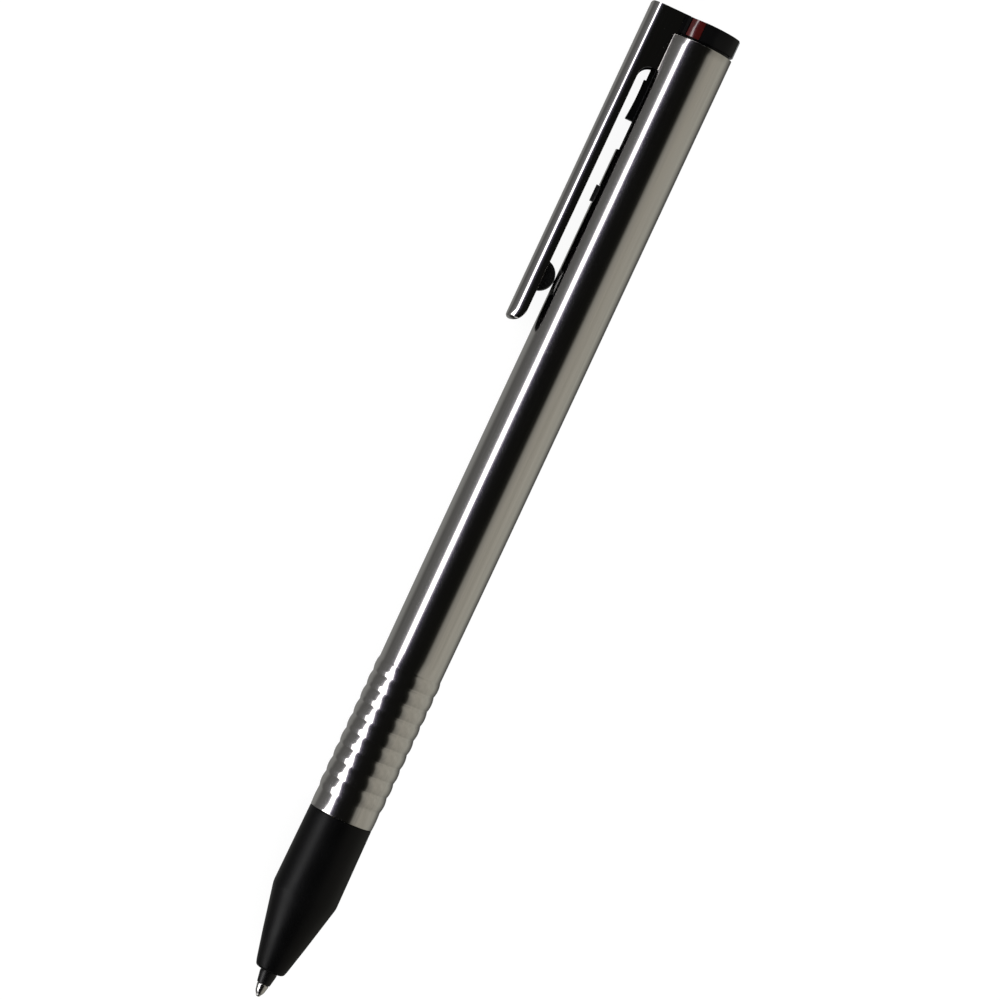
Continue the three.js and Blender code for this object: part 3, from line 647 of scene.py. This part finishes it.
def push_cap():
    head = prism("cap", d_outline(CAP_RADIUS, CAP_FLAT), CAP_HEAD_BOTTOM, CAP_TOP + CAP_CROWN)
    rise = CAP_CROWN + CAP_DROP
    crown_radius = (CAP_RADIUS ** 2 + rise ** 2) / (2 * rise)
    half = math.degrees(math.asin(CAP_RADIUS * 1.05 / crown_radius))
    crown = arc((0, CAP_TOP + CAP_CROWN - crown_radius), crown_radius, 90, 90 - half, 24)
    low = CAP_HEAD_BOTTOM - 1
    combine(head, lathe("crown", [(0, low), (crown[-1][0], low)] + crown[::-1], 128), "INTERSECT")
    for side in (-1, 1):
        across = sorted((side * RAIL_PLACE, side * (RAIL_PLACE + RAIL_WIDTH)))
        corners = rectangle(CAP_FLAT - OVERLAP, across[0], CAP_FLAT + RAIL_HEIGHT, across[1])
        combine(head, prism("rail", corners, CAP_HEAD_BOTTOM, CAP_TOP - 0.02), "UNION")
    around = mark_outline(CAP_RADIUS + 1, REST_GAP, 24)
    for angle in MARK_ANGLES.values():
        pocket = prism("pocket", around, CAP_HEAD_BOTTOM - 0.5, CAP_TOP + 1)
        combine(head, turn(pocket, angle), "DIFFERENCE")
    neck_radius = BORE_RADIUS - SEAT_GAP
    neck = prism("neck", d_outline(neck_radius, CAP_FLAT - 0.002), CAP_NECK_BOTTOM, CAP_HEAD_BOTTOM + OVERLAP)
    combine(head, neck, "UNION")
    bore = prism("bore", arc((0, 0), CAP_BORE, 0, 354, 59), CAP_NECK_BOTTOM - 1, CAP_BORE_TOP)
    combine(head, bore, "DIFFERENCE")
    notch_top = PIN_HEIGHT + LEVER_EYE + 0.9
    corners = rectangle(CAP_FLAT - CAP_NOTCH_DEPTH, notch_top - CAP_NOTCH_HEIGHT, CAP_FLAT + 1, notch_top)
    combine(head, prism("notch", corners, -1.0, 1.0, "y"), "DIFFERENCE")
    return round_edges(head, 0.09, angle=50)


place(push_cap(), "cap", GLOSS_BLACK, "black_plastic", "push_cap")


def mark(name):
    inner = CAP_RADIUS - MARK_DEPTH
    half = MARK_SPAN / 2
    edge = CAP_RADIUS * math.sin(math.radians(half))
    bend = math.degrees(math.asin(edge / MARK_ROUND))
    face = arc((CAP_RADIUS - MARK_ROUND, 0), MARK_ROUND, -bend, bend, 24)
    outline = face + arc((0, 0), inner, half, -half, 12)
    block = prism(name, outline, CAP_HEAD_BOTTOM, CAP_TOP - CAP_EDGE)
    return turn(round_edges(block, 0.05, 2, 50), MARK_ANGLES[name])


place(mark("mark_red"), "cap", RED_PLASTIC, "red_plastic", "mark_red").name = "red_mark"
place(mark("mark_grey"), "cap", GREY_PLASTIC, "grey_plastic", "mark_grey").name = "grey_mark"
place(mark("mark_white"), "cap", WHITE_PLASTIC, "white_plastic", "mark_white").name = "white_mark"


# Clip
def clip_side():
    """The clip's outline from the side: x from the axis, and height."""
    corner = CLIP_CORNER
    points = [(CLIP_HEAD_REACH + CLIP_HEAD_SET_BACK, CLIP_TOP)]
    points += arc((CLIP_BACK - corner, CLIP_TOP - corner), corner, 90, 0, 8)
    points += [(CLIP_BACK, CLIP_BOTTOM), (CLIP_UNDER, CLIP_BOTTOM)]
    notch = (CLIP_UNDER - CLIP_NOTCH, CLIP_HEAD_BOTTOM - CLIP_NOTCH)
    points += arc(notch, CLIP_NOTCH, 0, 90, 16)
    points += [
        (CLIP_HEAD_REACH, CLIP_HEAD_BOTTOM),
        (CLIP_HEAD_REACH, RIM - 0.5),
        (CLIP_HEAD_REACH + CLIP_HEAD_SET_BACK, RIM + 0.3),
    ]
    return points


def channel_section(radius):
    centre = CLIP_BACK - CLIP_WIDTH / 2
    return [(1.0, -radius)] + arc((centre, 0), radius, -90, 90, 48) + [(1.0, radius)]


def clip_hollow():
    inner = CLIP_BACK - CLIP_WALL
    fill = 0.6
    edge = CLIP_BOTTOM + CLIP_END
    top = CLIP_TOP - CLIP_WALL
    return [(0, top), (inner, top), (inner, edge - fill), (CLIP_UNDER, edge), (0, edge)]


def channel_clip():
    body = prism("clip_channel", channel_section(CLIP_WIDTH / 2), CLIP_BOTTOM - 1, CLIP_TOP + 1)
    combine(body, prism("side", clip_side(), -4, 4, "y"), "INTERSECT")
    inside = prism("inside", channel_section(CLIP_WIDTH / 2 - CLIP_WALL), CLIP_BOTTOM - 1, CLIP_TOP + 1)
    combine(inside, prism("hollow", clip_hollow(), -4, 4, "y"), "INTERSECT")
    combine(body, inside, "DIFFERENCE")
    round_edges(body, 0.07, angle=38, sharp=34)
    hole = cross_rod("pin_hole", PIN_RADIUS + 0.015, CLIP_WIDTH + 1, PIN_PLACE, PIN_HEIGHT)
    combine(body, hole, "DIFFERENCE")
    mark_inside(body)
    draw_in_end(body)
    return body


def mark_inside(body):
    """Gives the inside of the channel its mask, where shade is painted on as a near-black colour."""
    centre = CLIP_BACK - CLIP_WIDTH / 2
    reach = CLIP_WIDTH / 2 - CLIP_WALL + 0.03
    mask = body.data.attributes.new("inside", "FLOAT", "FACE")
    for face in body.data.polygons:
        x, y, z = face.center
        off_axis = math.hypot(max(x - centre, 0), y)
        mask.data[face.index].value = 1.0 if off_axis < reach and z < CLIP_TOP - CLIP_WALL + 0.03 else 0.0


def draw_in_end(body):
    """Draws the channel's end in like a bow. Its back stays straight, and its section shrinks."""
    full = CLIP_BACK - CLIP_UNDER
    rise = 0.25  # of the under edge's control point
    bm = bmesh.new()
    bm.from_mesh(body.data)
    for step in range(1, CLIP_END_STEPS + 1):
        level = CLIP_BOTTOM + CLIP_END * (step / CLIP_END_STEPS) ** 2
        everything = bm.verts[:] + bm.edges[:] + bm.faces[:]
        bmesh.ops.bisect_plane(bm, geom=everything, dist=1e-5, plane_co=(0, 0, level), plane_no=(0, 0, 1))
    for vert in bm.verts:
        height = vert.co.z - CLIP_BOTTOM
        if height >= CLIP_END:
            continue
        height = max(height, 0)
        back = CLIP_BACK
        if height < CLIP_END_CORNER:
            back -= CLIP_END_CORNER - math.sqrt(CLIP_END_CORNER ** 2 - (CLIP_END_CORNER - height) ** 2)
        square = CLIP_END - 2 * rise
        t = (math.sqrt(rise ** 2 + square * height) - rise) / square
        start = CLIP_BACK - CLIP_END_CORNER
        under = (1 - t) ** 2 * start + 2 * t * (1 - t) * (CLIP_UNDER + rise) + t * t * CLIP_UNDER
        share = max((back - under) / full, 0.1)
        vert.co.x = back - (CLIP_BACK - vert.co.x) * share
        vert.co.y *= share
    bm.to_mesh(body.data)
    bm.free()
    body.data.set_sharp_from_angle(angle=math.radians(40))


place(channel_clip(), "clip", CLIP_STEEL, "clip_steel", "clip")


def clip_pad():
    flat = CLIP_UNDER + 0.9
    half = math.degrees(math.acos((flat - PAD_PLACE) / PAD_RADIUS))
    outline = arc((PAD_PLACE, PAD_HEIGHT), PAD_RADIUS, half, 360 - half, 60)
    return round_edges(prism("pad", outline, -PAD_WIDTH / 2, PAD_WIDTH / 2, "y"), 0.22, 5, 50)


place(clip_pad(), "clip", PAD_BLACK, "black_plastic", "clip_pad")


def clip_pin():
    half = CLIP_WIDTH / 2
    edge = 0.02
    outline = [(0, -half), (PIN_RADIUS - edge, -half), (PIN_RADIUS, -half + edge)]
    outline += [(PIN_RADIUS, half - edge), (PIN_RADIUS - edge, half), (0, half)]
    pin = lathe("pin", outline, 40, 30)
    pin.data.transform(Matrix.Translation((PIN_PLACE, 0, PIN_HEIGHT)) @ Matrix.Rotation(math.pi / 2, 4, "X"))
    return pin


place(clip_pin(), "barrel", CLIP_STEEL, "clip_steel", "clip_pin")


# Mechanism cage
def cad_copy(name, node):
    """A CAD node's solid as one welded mesh, upright and in millimetres, with its flat faces whole."""
    mesh = nodes[node].data.copy()
    mesh.transform(LAY.inverted())
    bm = bmesh.new()
    bm.from_mesh(mesh)
    bpy.data.meshes.remove(mesh)
    bmesh.ops.remove_doubles(bm, verts=bm.verts, dist=0.001)
    bmesh.ops.dissolve_limit(bm, angle_limit=math.radians(0.5), verts=bm.verts, edges=bm.edges)
    return mesh_object(name, bm, 30)


def mechanism_cage():
    """The cage, whose arm has a tongue behind the cap's flat that closes the view between cap and clip."""
    cage = cad_copy("cage", "mechanism_cage")
    half = CLIP_WIDTH / 2 - CLIP_WALL - 0.2
    inner = CAP_FLAT + 0.03
    corners = rectangle(inner, RIM - 0.3, inner + TONGUE_THICKNESS, CLIP_TOP - CLIP_WALL - 0.08)
    combine(cage, prism("tongue", corners, -half, half, "y"), "UNION")
    return round_edges(cage, 0.05, 2, 40, 30)


place(mechanism_cage(), "barrel", SATIN_BLACK, "black_plastic", "mechanism_cage")


# Release lever
def release_lever():
    under = PIN_PLACE - 0.35
    tooth = CAP_FLAT + 0.25
    tooth_top = PIN_HEIGHT + LEVER_EYE + 0.6
    reach = LEVER_EYE * math.sqrt(0.5)
    outline = [(under, LUG_BOTTOM)]
    outline += curve(
        (BARREL_RADIUS + LUG_RISE_BELOW, LUG_BOTTOM),
        (BARREL_RADIUS + LUG_RISE_BETWEEN, (LUG_BOTTOM + LUG_TOP) / 2),
        (BARREL_RADIUS + LUG_RISE_ABOVE, LUG_TOP),
        16,
    )
    outline += [(BARREL_RADIUS + STEM_RISE, LUG_TOP), (PIN_PLACE + reach, PIN_HEIGHT - reach)]
    outline += arc((PIN_PLACE, PIN_HEIGHT), LEVER_EYE, -45, 90, 14)[1:]
    outline += [
        (PIN_PLACE - 0.5, tooth_top), (tooth, tooth_top), (tooth, tooth_top - 0.6),
        (PIN_PLACE - LEVER_EYE, PIN_HEIGHT), (under, PIN_HEIGHT - 2 * LEVER_EYE),
    ]
    lever = prism("lever", outline, -LEVER_WIDTH / 2, LEVER_WIDTH / 2, "y")
    eye = cross_rod("eye", PIN_RADIUS + REST_GAP, LEVER_WIDTH + 1, PIN_PLACE, PIN_HEIGHT)
    combine(lever, eye, "DIFFERENCE")
    return round_edges(lever, 0.06, 2, 40)


place(release_lever(), "lever", GLOSS_BLACK, "black_plastic", "release_lever")


# The ball pen that is out
def point_holder():
    front = OUT_TIP + POINT_LENGTH
    wide = front + HOLDER_TAPER
    shoulder = wide + HOLDER_BODY
    bore = POINT_SHANK_RADIUS + 0.08
    shank = REFILL_RADIUS - 0.3
    outline = [(bore, front), (HOLDER_END_RADIUS - 0.08, front)]
    outline += arc((HOLDER_END_RADIUS - 0.08, front + 0.08), 0.08, -90, 0, 4)[1:]
    below = (HOLDER_RIM_RADIUS - 0.005, wide - 0.45)
    outline += curve(below, (HOLDER_RIM_RADIUS, wide - 0.3), (HOLDER_RADIUS, wide - 0.02), 6)
    outline += [
        (HOLDER_RADIUS, shoulder - REST_GAP), (shank, shoulder - REST_GAP), (shank, shoulder + 3.0),
        (bore, shoulder + 3.0),
    ]
    return lathe("point_holder", outline, 64, 30)


place(point_holder(), "black_refill", SATIN_BLACK, "black_plastic", "black_holder")


def writing_point():
    shoulder = OUT_TIP + POINT_LENGTH
    ball_middle = OUT_TIP + BALL_RADIUS
    outline = [(0, OUT_TIP)] + arc((0, ball_middle), BALL_RADIUS, -90, 0, 9)[1:]
    bend = (0.64, OUT_TIP + 0.85)
    outline += curve((0.39, ball_middle), (0.56, OUT_TIP + 0.56), bend, 8)
    outline += curve(bend, (0.69, OUT_TIP + 1.15), (POINT_RADIUS, shoulder - 0.3), 5)[1:]
    outline += [
        (POINT_RADIUS, shoulder - REST_GAP), (POINT_SHANK_RADIUS, shoulder - REST_GAP),
        (POINT_SHANK_RADIUS, shoulder + 2.0), (0, shoulder + 2.0),
    ]
    return lathe("writing_point", outline, 64, 30)


place(writing_point(), "black_refill", TURNED_NICKEL, "nickel", "black_point")


# Springs, and the bush's thread
def make_coil():
    """A round wire wound on a cylinder, whose turns lie closer towards its ends."""
    group = bpy.data.node_groups.new("wound wire", "GeometryNodeTree")
    kinds = {"Radius": "NodeSocketFloat", "Wire": "NodeSocketFloat", "Height": "NodeSocketFloat",
             "Turns": "NodeSocketFloat", "Close Ends": "NodeSocketFloat", "Facets": "NodeSocketInt",
             "Material": "NodeSocketMaterial"}
    sockets = {}
    for label, kind in kinds.items():
        sockets[label] = group.interface.new_socket(label, in_out="INPUT", socket_type=kind).identifier
    group.interface.new_socket("Geometry", in_out="OUTPUT", socket_type="NodeSocketGeometry")
    start = group.nodes.new("NodeGroupInput").outputs
    spiral = new_node(group, "GeometryNodeCurveSpiral", {
        "Resolution": 28, "Height": 0.0, "Rotations": start["Turns"],
        "Start Radius": start["Radius"], "End Radius": start["Radius"],
    })
    along = group.nodes.new("GeometryNodeSplineParameter").outputs["Factor"]
    wave = math_node(group, "SINE", times(group, along, 2 * math.pi))
    bunch = math_node(group, "DIVIDE", times(group, wave, start["Close Ends"]), 2 * math.pi)
    share = math_node(group, "SUBTRACT", along, bunch)
    rise = new_node(group, "ShaderNodeCombineXYZ", {"Z": times(group, share, start["Height"])})
    lift = new_node(group, "GeometryNodeSetPosition", {
        "Geometry": spiral.outputs["Curve"], "Offset": rise.outputs[0],
    })
    circle = new_node(group, "GeometryNodeCurvePrimitiveCircle", {
        "Resolution": start["Facets"], "Radius": times(group, start["Wire"], 0.5),
    })
    sweep = new_node(group, "GeometryNodeCurveToMesh", {
        "Curve": lift.outputs["Geometry"], "Profile Curve": circle.outputs["Curve"], "Fill Caps": True,
    })
    real = new_node(group, "GeometryNodeRealizeInstances", {"Geometry": sweep.outputs["Mesh"]})
    finish = new_node(group, "GeometryNodeSetMaterial", {
        "Geometry": real.outputs["Geometry"], "Material": start["Material"],
    })
    new_node(group, "NodeGroupOutput", {"Geometry": finish.outputs["Geometry"]})
    return group, sockets


COIL, COIL_SOCKETS = make_coil()


def coil(name, radius, wire, height, turns, close_ends, material, facets=12):
    """A coil about the pen's axis that starts at height 0. The radius is that of the wire's middle."""
    thing = new_object(name, bpy.data.meshes.new(name))
    winding = thing.modifiers.new("winding", "NODES")
    winding.node_group = COIL
    values = {"Radius": radius, "Wire": wire, "Height": height, "Turns": turns, "Close Ends": close_ends,
              "Facets": facets, "Material": material}
    for label, value in values.items():
        winding[COIL_SOCKETS[label]] = value
    return bake(thing)


def local_box(node):
    """The box of a CAD node along the upright pen's own x, y and height."""
    points = [LAY.inverted() @ vert.co for vert in nodes[node].data.vertices]
    low = Vector([min(point[i] for point in points) for i in range(3)])
    high = Vector([max(point[i] for point in points) for i in range(3)])
    return low, high


def upright_spring(name, node, turns):
    """A coil spring that stands on the barrel's fittings below, in its CAD node's place."""
    low, high = local_box(node)
    radius = (high.y - low.y - WIRE) / 2 - COIL_INSET
    thing = coil(name, radius, WIRE, high.z - low.z - WIRE, turns, 0.8, WIRE_STEEL)
    middle = (low + high) / 2
    thing.data.transform(Matrix.Translation((middle.x, middle.y, low.z + WIRE / 2)))
    lay(thing, WIRE_STEEL, "spring_steel", node)
    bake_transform(thing)


upright_spring("cap_coil", "cap_spring", 12)
upright_spring("black_coil", "black_spring", 16)
upright_spring("red_coil", "red_spring", 18)
upright_spring("pencil_coil", "pencil_spring", 18)


def clip_coil():
    """The small coil that closes the clip, standing across the pen's axis."""
    low, high = local_box("clip_spring")
    radius = (high.y - low.y - CLIP_WIRE) / 2 - COIL_INSET
    thing = coil("clip_coil", radius, CLIP_WIRE, high.x - low.x - CLIP_WIRE, 4.5, 0.6, WIRE_STEEL)
    thing.data.transform(Matrix.Rotation(math.pi / 2, 4, "Y"))
    middle = (low + high) / 2
    thing.data.transform(Matrix.Translation((low.x + CLIP_WIRE / 2, middle.y, middle.z)))
    return thing


place(clip_coil(), "barrel", WIRE_STEEL, "spring_steel", "clip_spring")


def thread_bush():
    """The brass bush with the thread that the nose turns on."""
    low, high = local_box("thread_bush")
    radius = (high.y - low.y) / 2
    wall = 0.31
    pitch = 0.748
    ridge = 0.24
    face = radius - 0.02
    outline = [(radius - wall, low.z), (radius - 0.1, low.z), (face, low.z + 0.1), (face, high.z)]
    outline += [(radius - wall, high.z)]
    bush = lathe("bush", outline, 96, 30)
    bottom = low.z + THREAD_MARGIN
    height = NOSE_LENGTH - THREAD_MARGIN - bottom
    thread = coil("thread", radius - 0.03, ridge, height, height / pitch, 0.0, TURNED_BRASS, 6)
    thread.data.transform(Matrix.Translation((0, 0, bottom)))
    bm = bmesh.new()
    bm.from_mesh(bush.data)
    bm.from_mesh(thread.data)
    bpy.data.objects.remove(thread)
    bpy.data.objects.remove(bush)
    return mesh_object("bush", bm, 30)


place(thread_bush(), "barrel", TURNED_BRASS, "brass", "thread_bush")


# Finishes of the pieces that keep their solids
KEPT = {
    "refill_guide": WHITE_PLASTIC,
    "spring_plate": TURNED_BRASS,
    "selector_axle": WIRE_STEEL,
    "selector_washer": WIRE_STEEL,
    "selector_weight": TURNED_BRASS,
    "selector_finger": WIRE_STEEL,
    "black_slider": SATIN_BLACK,
    "black_tube": SATIN_BLACK,
    "red_slider": RED_PLASTIC,
    "red_tube": RED_PLASTIC,
    "red_holder": RED_PLASTIC,
    "red_point": TURNED_NICKEL,
    "pencil_slider": GREY_PLASTIC,
    "pencil_tube": WIRE_STEEL,
    "pencil_nozzle": TURNED_NICKEL,
    "pencil_chuck": TURNED_BRASS,
    "pencil_lead": GRAPHITE,
}
for name, material in KEPT.items():
    nodes[name].data.materials.clear()
    nodes[name].data.materials.append(material)


# Floor, cards and light
def new_stage_mesh(name, bm):
    thing = plain_object(name, bm)
    return thing


FLOOR_HALF = 3.0  # metres
FLOOR_LEVEL = -0.00003
FLOOR_GLOW = 1.08
FLOOR_GLOW_SHARE = 0.86


def floor_material():
    """White to the camera and in reflections, and still showing the pen's shadow."""
    material, tree, shader = new_material("pale floor")
    feed(tree, shader, {"Base Color": (0.9, 0.9, 0.9, 1), "Roughness": 0.9, "Specular IOR Level": 0.0})
    glow = new_node(tree, "ShaderNodeEmission", {"Color": (1, 1, 1, 1), "Strength": FLOOR_GLOW})
    rays = tree.nodes.new("ShaderNodeLightPath").outputs
    seen = math_node(tree, "MAXIMUM", rays["Is Camera Ray"], rays["Is Glossy Ray"])
    seen = math_node(tree, "MAXIMUM", seen, rays["Is Transmission Ray"])
    share = times(tree, seen, FLOOR_GLOW_SHARE)
    both = new_node(tree, "ShaderNodeMixShader", {0: share, 1: shader.outputs[0], 2: glow.outputs[0]})
    output = next(node for node in tree.nodes if node.type == "OUTPUT_MATERIAL")
    tree.links.new(both.outputs[0], output.inputs["Surface"])
    return material


def add_floor():
    bm = bmesh.new()
    corners = rectangle(-FLOOR_HALF, -FLOOR_HALF, FLOOR_HALF, FLOOR_HALF)
    bm.faces.new([bm.verts.new((x, y, FLOOR_LEVEL)) for x, y in corners])
    floor = new_stage_mesh("floor", bm)
    floor.data.materials.append(floor_material())
    floor.visible_glossy = False


add_floor()

# The tent's panels by their angle round the pen, in degrees from the camera's side. They count up away from
# the clip. Their tones are set one by one.
WHITE = (4.0, 4.0, 4.0)
TENT_PANELS = [
    (-180, (0.12, 0.12, 0.12)),
    (-164, (0.27, 0.27, 0.265)),
    (-136, (0.282, 0.282, 0.277)),
    (-124, (0.255, 0.255, 0.25)),
    (-118, (0.20, 0.20, 0.195)),
    (-112, (0.135, 0.134, 0.13)),
    (-104, (0.122, 0.121, 0.12)),
    (-88, (0.145, 0.144, 0.143)),
    (-76, (0.175, 0.175, 0.178)),
    (-67.5, (0.23, 0.23, 0.24)),
    (-62.2, (0.42, 0.40, 0.47)),
    (-57.5, WHITE),
    (-47.8, WHITE),
    (-45.2, (0.66, 0.61, 0.86)),
    (-41.4, (0.14, 0.125, 0.18)),
    (-36, (0.06, 0.057, 0.078)),
    (-28, (0.02, 0.02, 0.022)),
    (-18, (0.007, 0.007, 0.007)),
    (16, (0.007, 0.007, 0.006)),
    (26.5, (0.012, 0.012, 0.010)),
    (31, (0.052, 0.05, 0.044)),
    (36.5, (0.225, 0.22, 0.197)),
    (45, (0.325, 0.31, 0.278)),
    (62, (0.39, 0.372, 0.325)),
    (95, (0.41, 0.395, 0.35)),
    (114, (0.415, 0.41, 0.365)),
    (124, (0.32, 0.315, 0.285)),
    (133, (0.23, 0.226, 0.205)),
    (142, (0.15, 0.147, 0.135)),
    (152, (0.09, 0.089, 0.083)),
    (180, (0.12, 0.12, 0.12)),
]
TENT_RADIUS = 0.5
TENT_HALF_LENGTH = 3.0


def tent_material():
    material = bpy.data.materials.new("tent panels")
    material.use_nodes = True
    tree = material.node_tree
    tree.nodes.clear()
    coords = object_coordinates(tree)

    def along(direction, offset):
        dot = vector_node(tree, "DOT_PRODUCT", coords, direction)
        return math_node(tree, "SUBTRACT", dot.outputs["Value"], offset)

    to_camera = along(SIDE, SIDE.y * AXIS.y + SIDE.z * AXIS.z)
    away = along(-TO_CLIP, -(TO_CLIP.y * AXIS.y + TO_CLIP.z * AXIS.z))
    length = along((1, 0, 0), 0)
    share = math_node(tree, "DIVIDE", math_node(tree, "ARCTAN2", away, to_camera), 2 * math.pi)
    position = total(tree, share, 0.5)

    def shift(start, end, from_degrees, to_degrees):
        """An angle that changes between two places along the tent, as a share of a turn."""
        return remap(tree, length, start, end, from_degrees / 360, to_degrees / 360)

    # What leans down or up the pen, as the grip rings' flanks do, reflects far along the tent. There the
    # strip light is wider on the clip's side, and the other edges stay in line with those on the barrel.
    askew = shift(-0.11, 0.09, 2.2, -3.6)
    near = total(tree, askew, shift(0.09, 0.43, 0, 2.0), shift(-0.14, -0.3, 0, -3.5))
    far = total(tree, askew, shift(0.09, 0.43, 0, -4.4), shift(-0.13, -0.24, 0, -7.5))
    side = mix_node(tree, math_node(tree, "GREATER_THAN", position, 0.5), near, far)
    straight = total(tree, position, side)
    to_nose = total(tree, shift(0.095, 0.165, 0, 13), shift(0.165, 0.43, 0, 8), shift(0.34, 0.42, 0, -20))
    lean = total(tree, to_nose, shift(-0.135, -0.17, 0, -5))
    strip_middle = 0.5 - 54.5 / 360
    widened = math_node(tree, "MINIMUM", total(tree, position, lean), strip_middle)
    on_clip_side = math_node(tree, "LESS_THAN", position, strip_middle)
    panel = mix_node(tree, on_clip_side, straight, widened)

    ramp = new_node(tree, "ShaderNodeValToRGB", {"Fac": panel})
    while len(ramp.color_ramp.elements) < len(TENT_PANELS):
        ramp.color_ramp.elements.new(0.5)
    for element, (angle, color) in zip(ramp.color_ramp.elements, TENT_PANELS):
        element.position = angle / 360 + 0.5
        element.color = (*[part / WHITE[0] for part in color], 1)

    # The far side's card is a little cloudy, and darker towards both ends of the pen.
    clouds = noise_node(tree, coords, 7.0, 2.0)
    cloudy = remap(tree, clouds, 0.35, 0.65, 0.92, 1.06)
    to_nose = remap(tree, length, 0.085, 0.26, 1.05, 0.84)
    to_cap = remap(tree, length, -0.13, -0.2, 1.0, 0.8)
    on_card = math_node(tree, "GREATER_THAN", position, 0.5 + 20 / 360)
    dim = mix_node(tree, on_card, 1.0, times(tree, cloudy, times(tree, to_nose, to_cap)))
    # Only what faces well down the pen, as the point's end does, reflects this far. There the tent is dark.
    beyond = remap(tree, length, 0.45, 0.95, 1.0, 0.12)
    strength = times(tree, times(tree, dim, beyond), WHITE[0])
    glow = new_node(tree, "ShaderNodeEmission", {"Strength": strength, "Color": ramp.outputs["Color"]})
    new_node(tree, "ShaderNodeOutputMaterial", {"Surface": glow.outputs[0]})
    return material


def tent():
    """A tube of cards round the pen that shapes reflections alone, and neither shows nor shades."""
    steps = 72
    bm = bmesh.new()
    rings = []
    for x in (-TENT_HALF_LENGTH, TENT_HALF_LENGTH):
        ring = []
        for step in range(steps):
            angle = 2 * math.pi * step / steps
            side = TENT_RADIUS * math.cos(angle)
            ring.append(bm.verts.new((x, AXIS.y + side, AXIS.z + TENT_RADIUS * math.sin(angle))))
        rings.append(ring)
    for step in range(steps):
        after = (step + 1) % steps
        bm.faces.new((rings[0][step], rings[1][step], rings[1][after], rings[0][after]))
    thing = new_stage_mesh("tent", bm)
    thing.data.materials.append(tent_material())
    thing.visible_camera = False
    thing.visible_diffuse = False
    thing.visible_shadow = False
    thing.visible_transmission = False
    thing.visible_volume_scatter = False


tent()


STRIP_ANGLE = math.radians(-53)
STRIP_LENGTH = 1.3
STRIP_WIDTH = 0.13
STRIP_DISTANCE = 0.49
STRIP_POWER = 1.2


def strip_light():
    """The long soft light on the clip's side, at the tent's white panel."""
    direction = SIDE * math.cos(STRIP_ANGLE) + TO_CLIP * -math.sin(STRIP_ANGLE)
    light = bpy.data.lights.new("strip light", "AREA")
    light.shape = "RECTANGLE"
    light.size = STRIP_LENGTH
    light.size_y = STRIP_WIDTH
    light.energy = STRIP_POWER
    lamp = new_object("strip_light", light)
    lamp.location = Vector((0, AXIS.y, AXIS.z)) + direction * STRIP_DISTANCE
    lamp.rotation_mode = "QUATERNION"
    lamp.rotation_quaternion = direction.to_track_quat("Z", "Y")
    lamp.visible_glossy = False


strip_light()


def world_light():
    world = bpy.data.worlds.new("studio")
    world.use_nodes = True
    tree = world.node_tree
    tree.nodes.clear()
    rays = tree.nodes.new("ShaderNodeLightPath").outputs
    seen = math_node(tree, "MAXIMUM", rays["Is Camera Ray"], rays["Is Transmission Ray"])
    soft = new_node(tree, "ShaderNodeBackground", {"Color": (0.85, 0.85, 0.84, 1)})
    white = new_node(tree, "ShaderNodeBackground", {"Color": (1, 1, 1, 1)})
    both = new_node(tree, "ShaderNodeMixShader", {0: seen, 1: soft.outputs[0], 2: white.outputs[0]})
    new_node(tree, "ShaderNodeOutputWorld", {"Surface": both.outputs[0]})
    bpy.context.scene.world = world


world_light()


# Camera
CAMERA_DISTANCE = 540.0
CAMERA_HEIGHT = 74.8  # along the pen, where the camera stands square to it
AIM = (-1.26, 68.05)  # x and height of the picture's middle
PICTURE_WIDTH = 129.65
SENSOR_WIDTH = 36.0
LEAN = math.radians(25.04)  # of the pen in the picture


def add_camera():
    data = bpy.data.cameras.new("camera")
    camera = new_object("camera", data)
    eye = LAY @ Vector((0, CAMERA_DISTANCE, CAMERA_HEIGHT))
    aim = LAY @ Vector((AIM[0], 0, AIM[1]))
    back = (eye - aim).normalized()
    up = UP_PEN * math.cos(LEAN) + TO_CLIP * math.sin(LEAN)
    right = up.cross(back).normalized()
    up = back.cross(right)
    turned = Matrix((right, up, back)).transposed().to_4x4()
    camera.matrix_world = Matrix.Translation(eye) @ turned
    data.sensor_width = SENSOR_WIDTH
    data.lens = SENSOR_WIDTH * CAMERA_DISTANCE / PICTURE_WIDTH
    data.clip_start = 0.02
    data.clip_end = 20
    data.dof.use_dof = False
    bpy.context.scene.camera = camera


add_camera()
bpy.context.scene.view_settings.view_transform = "Standard"
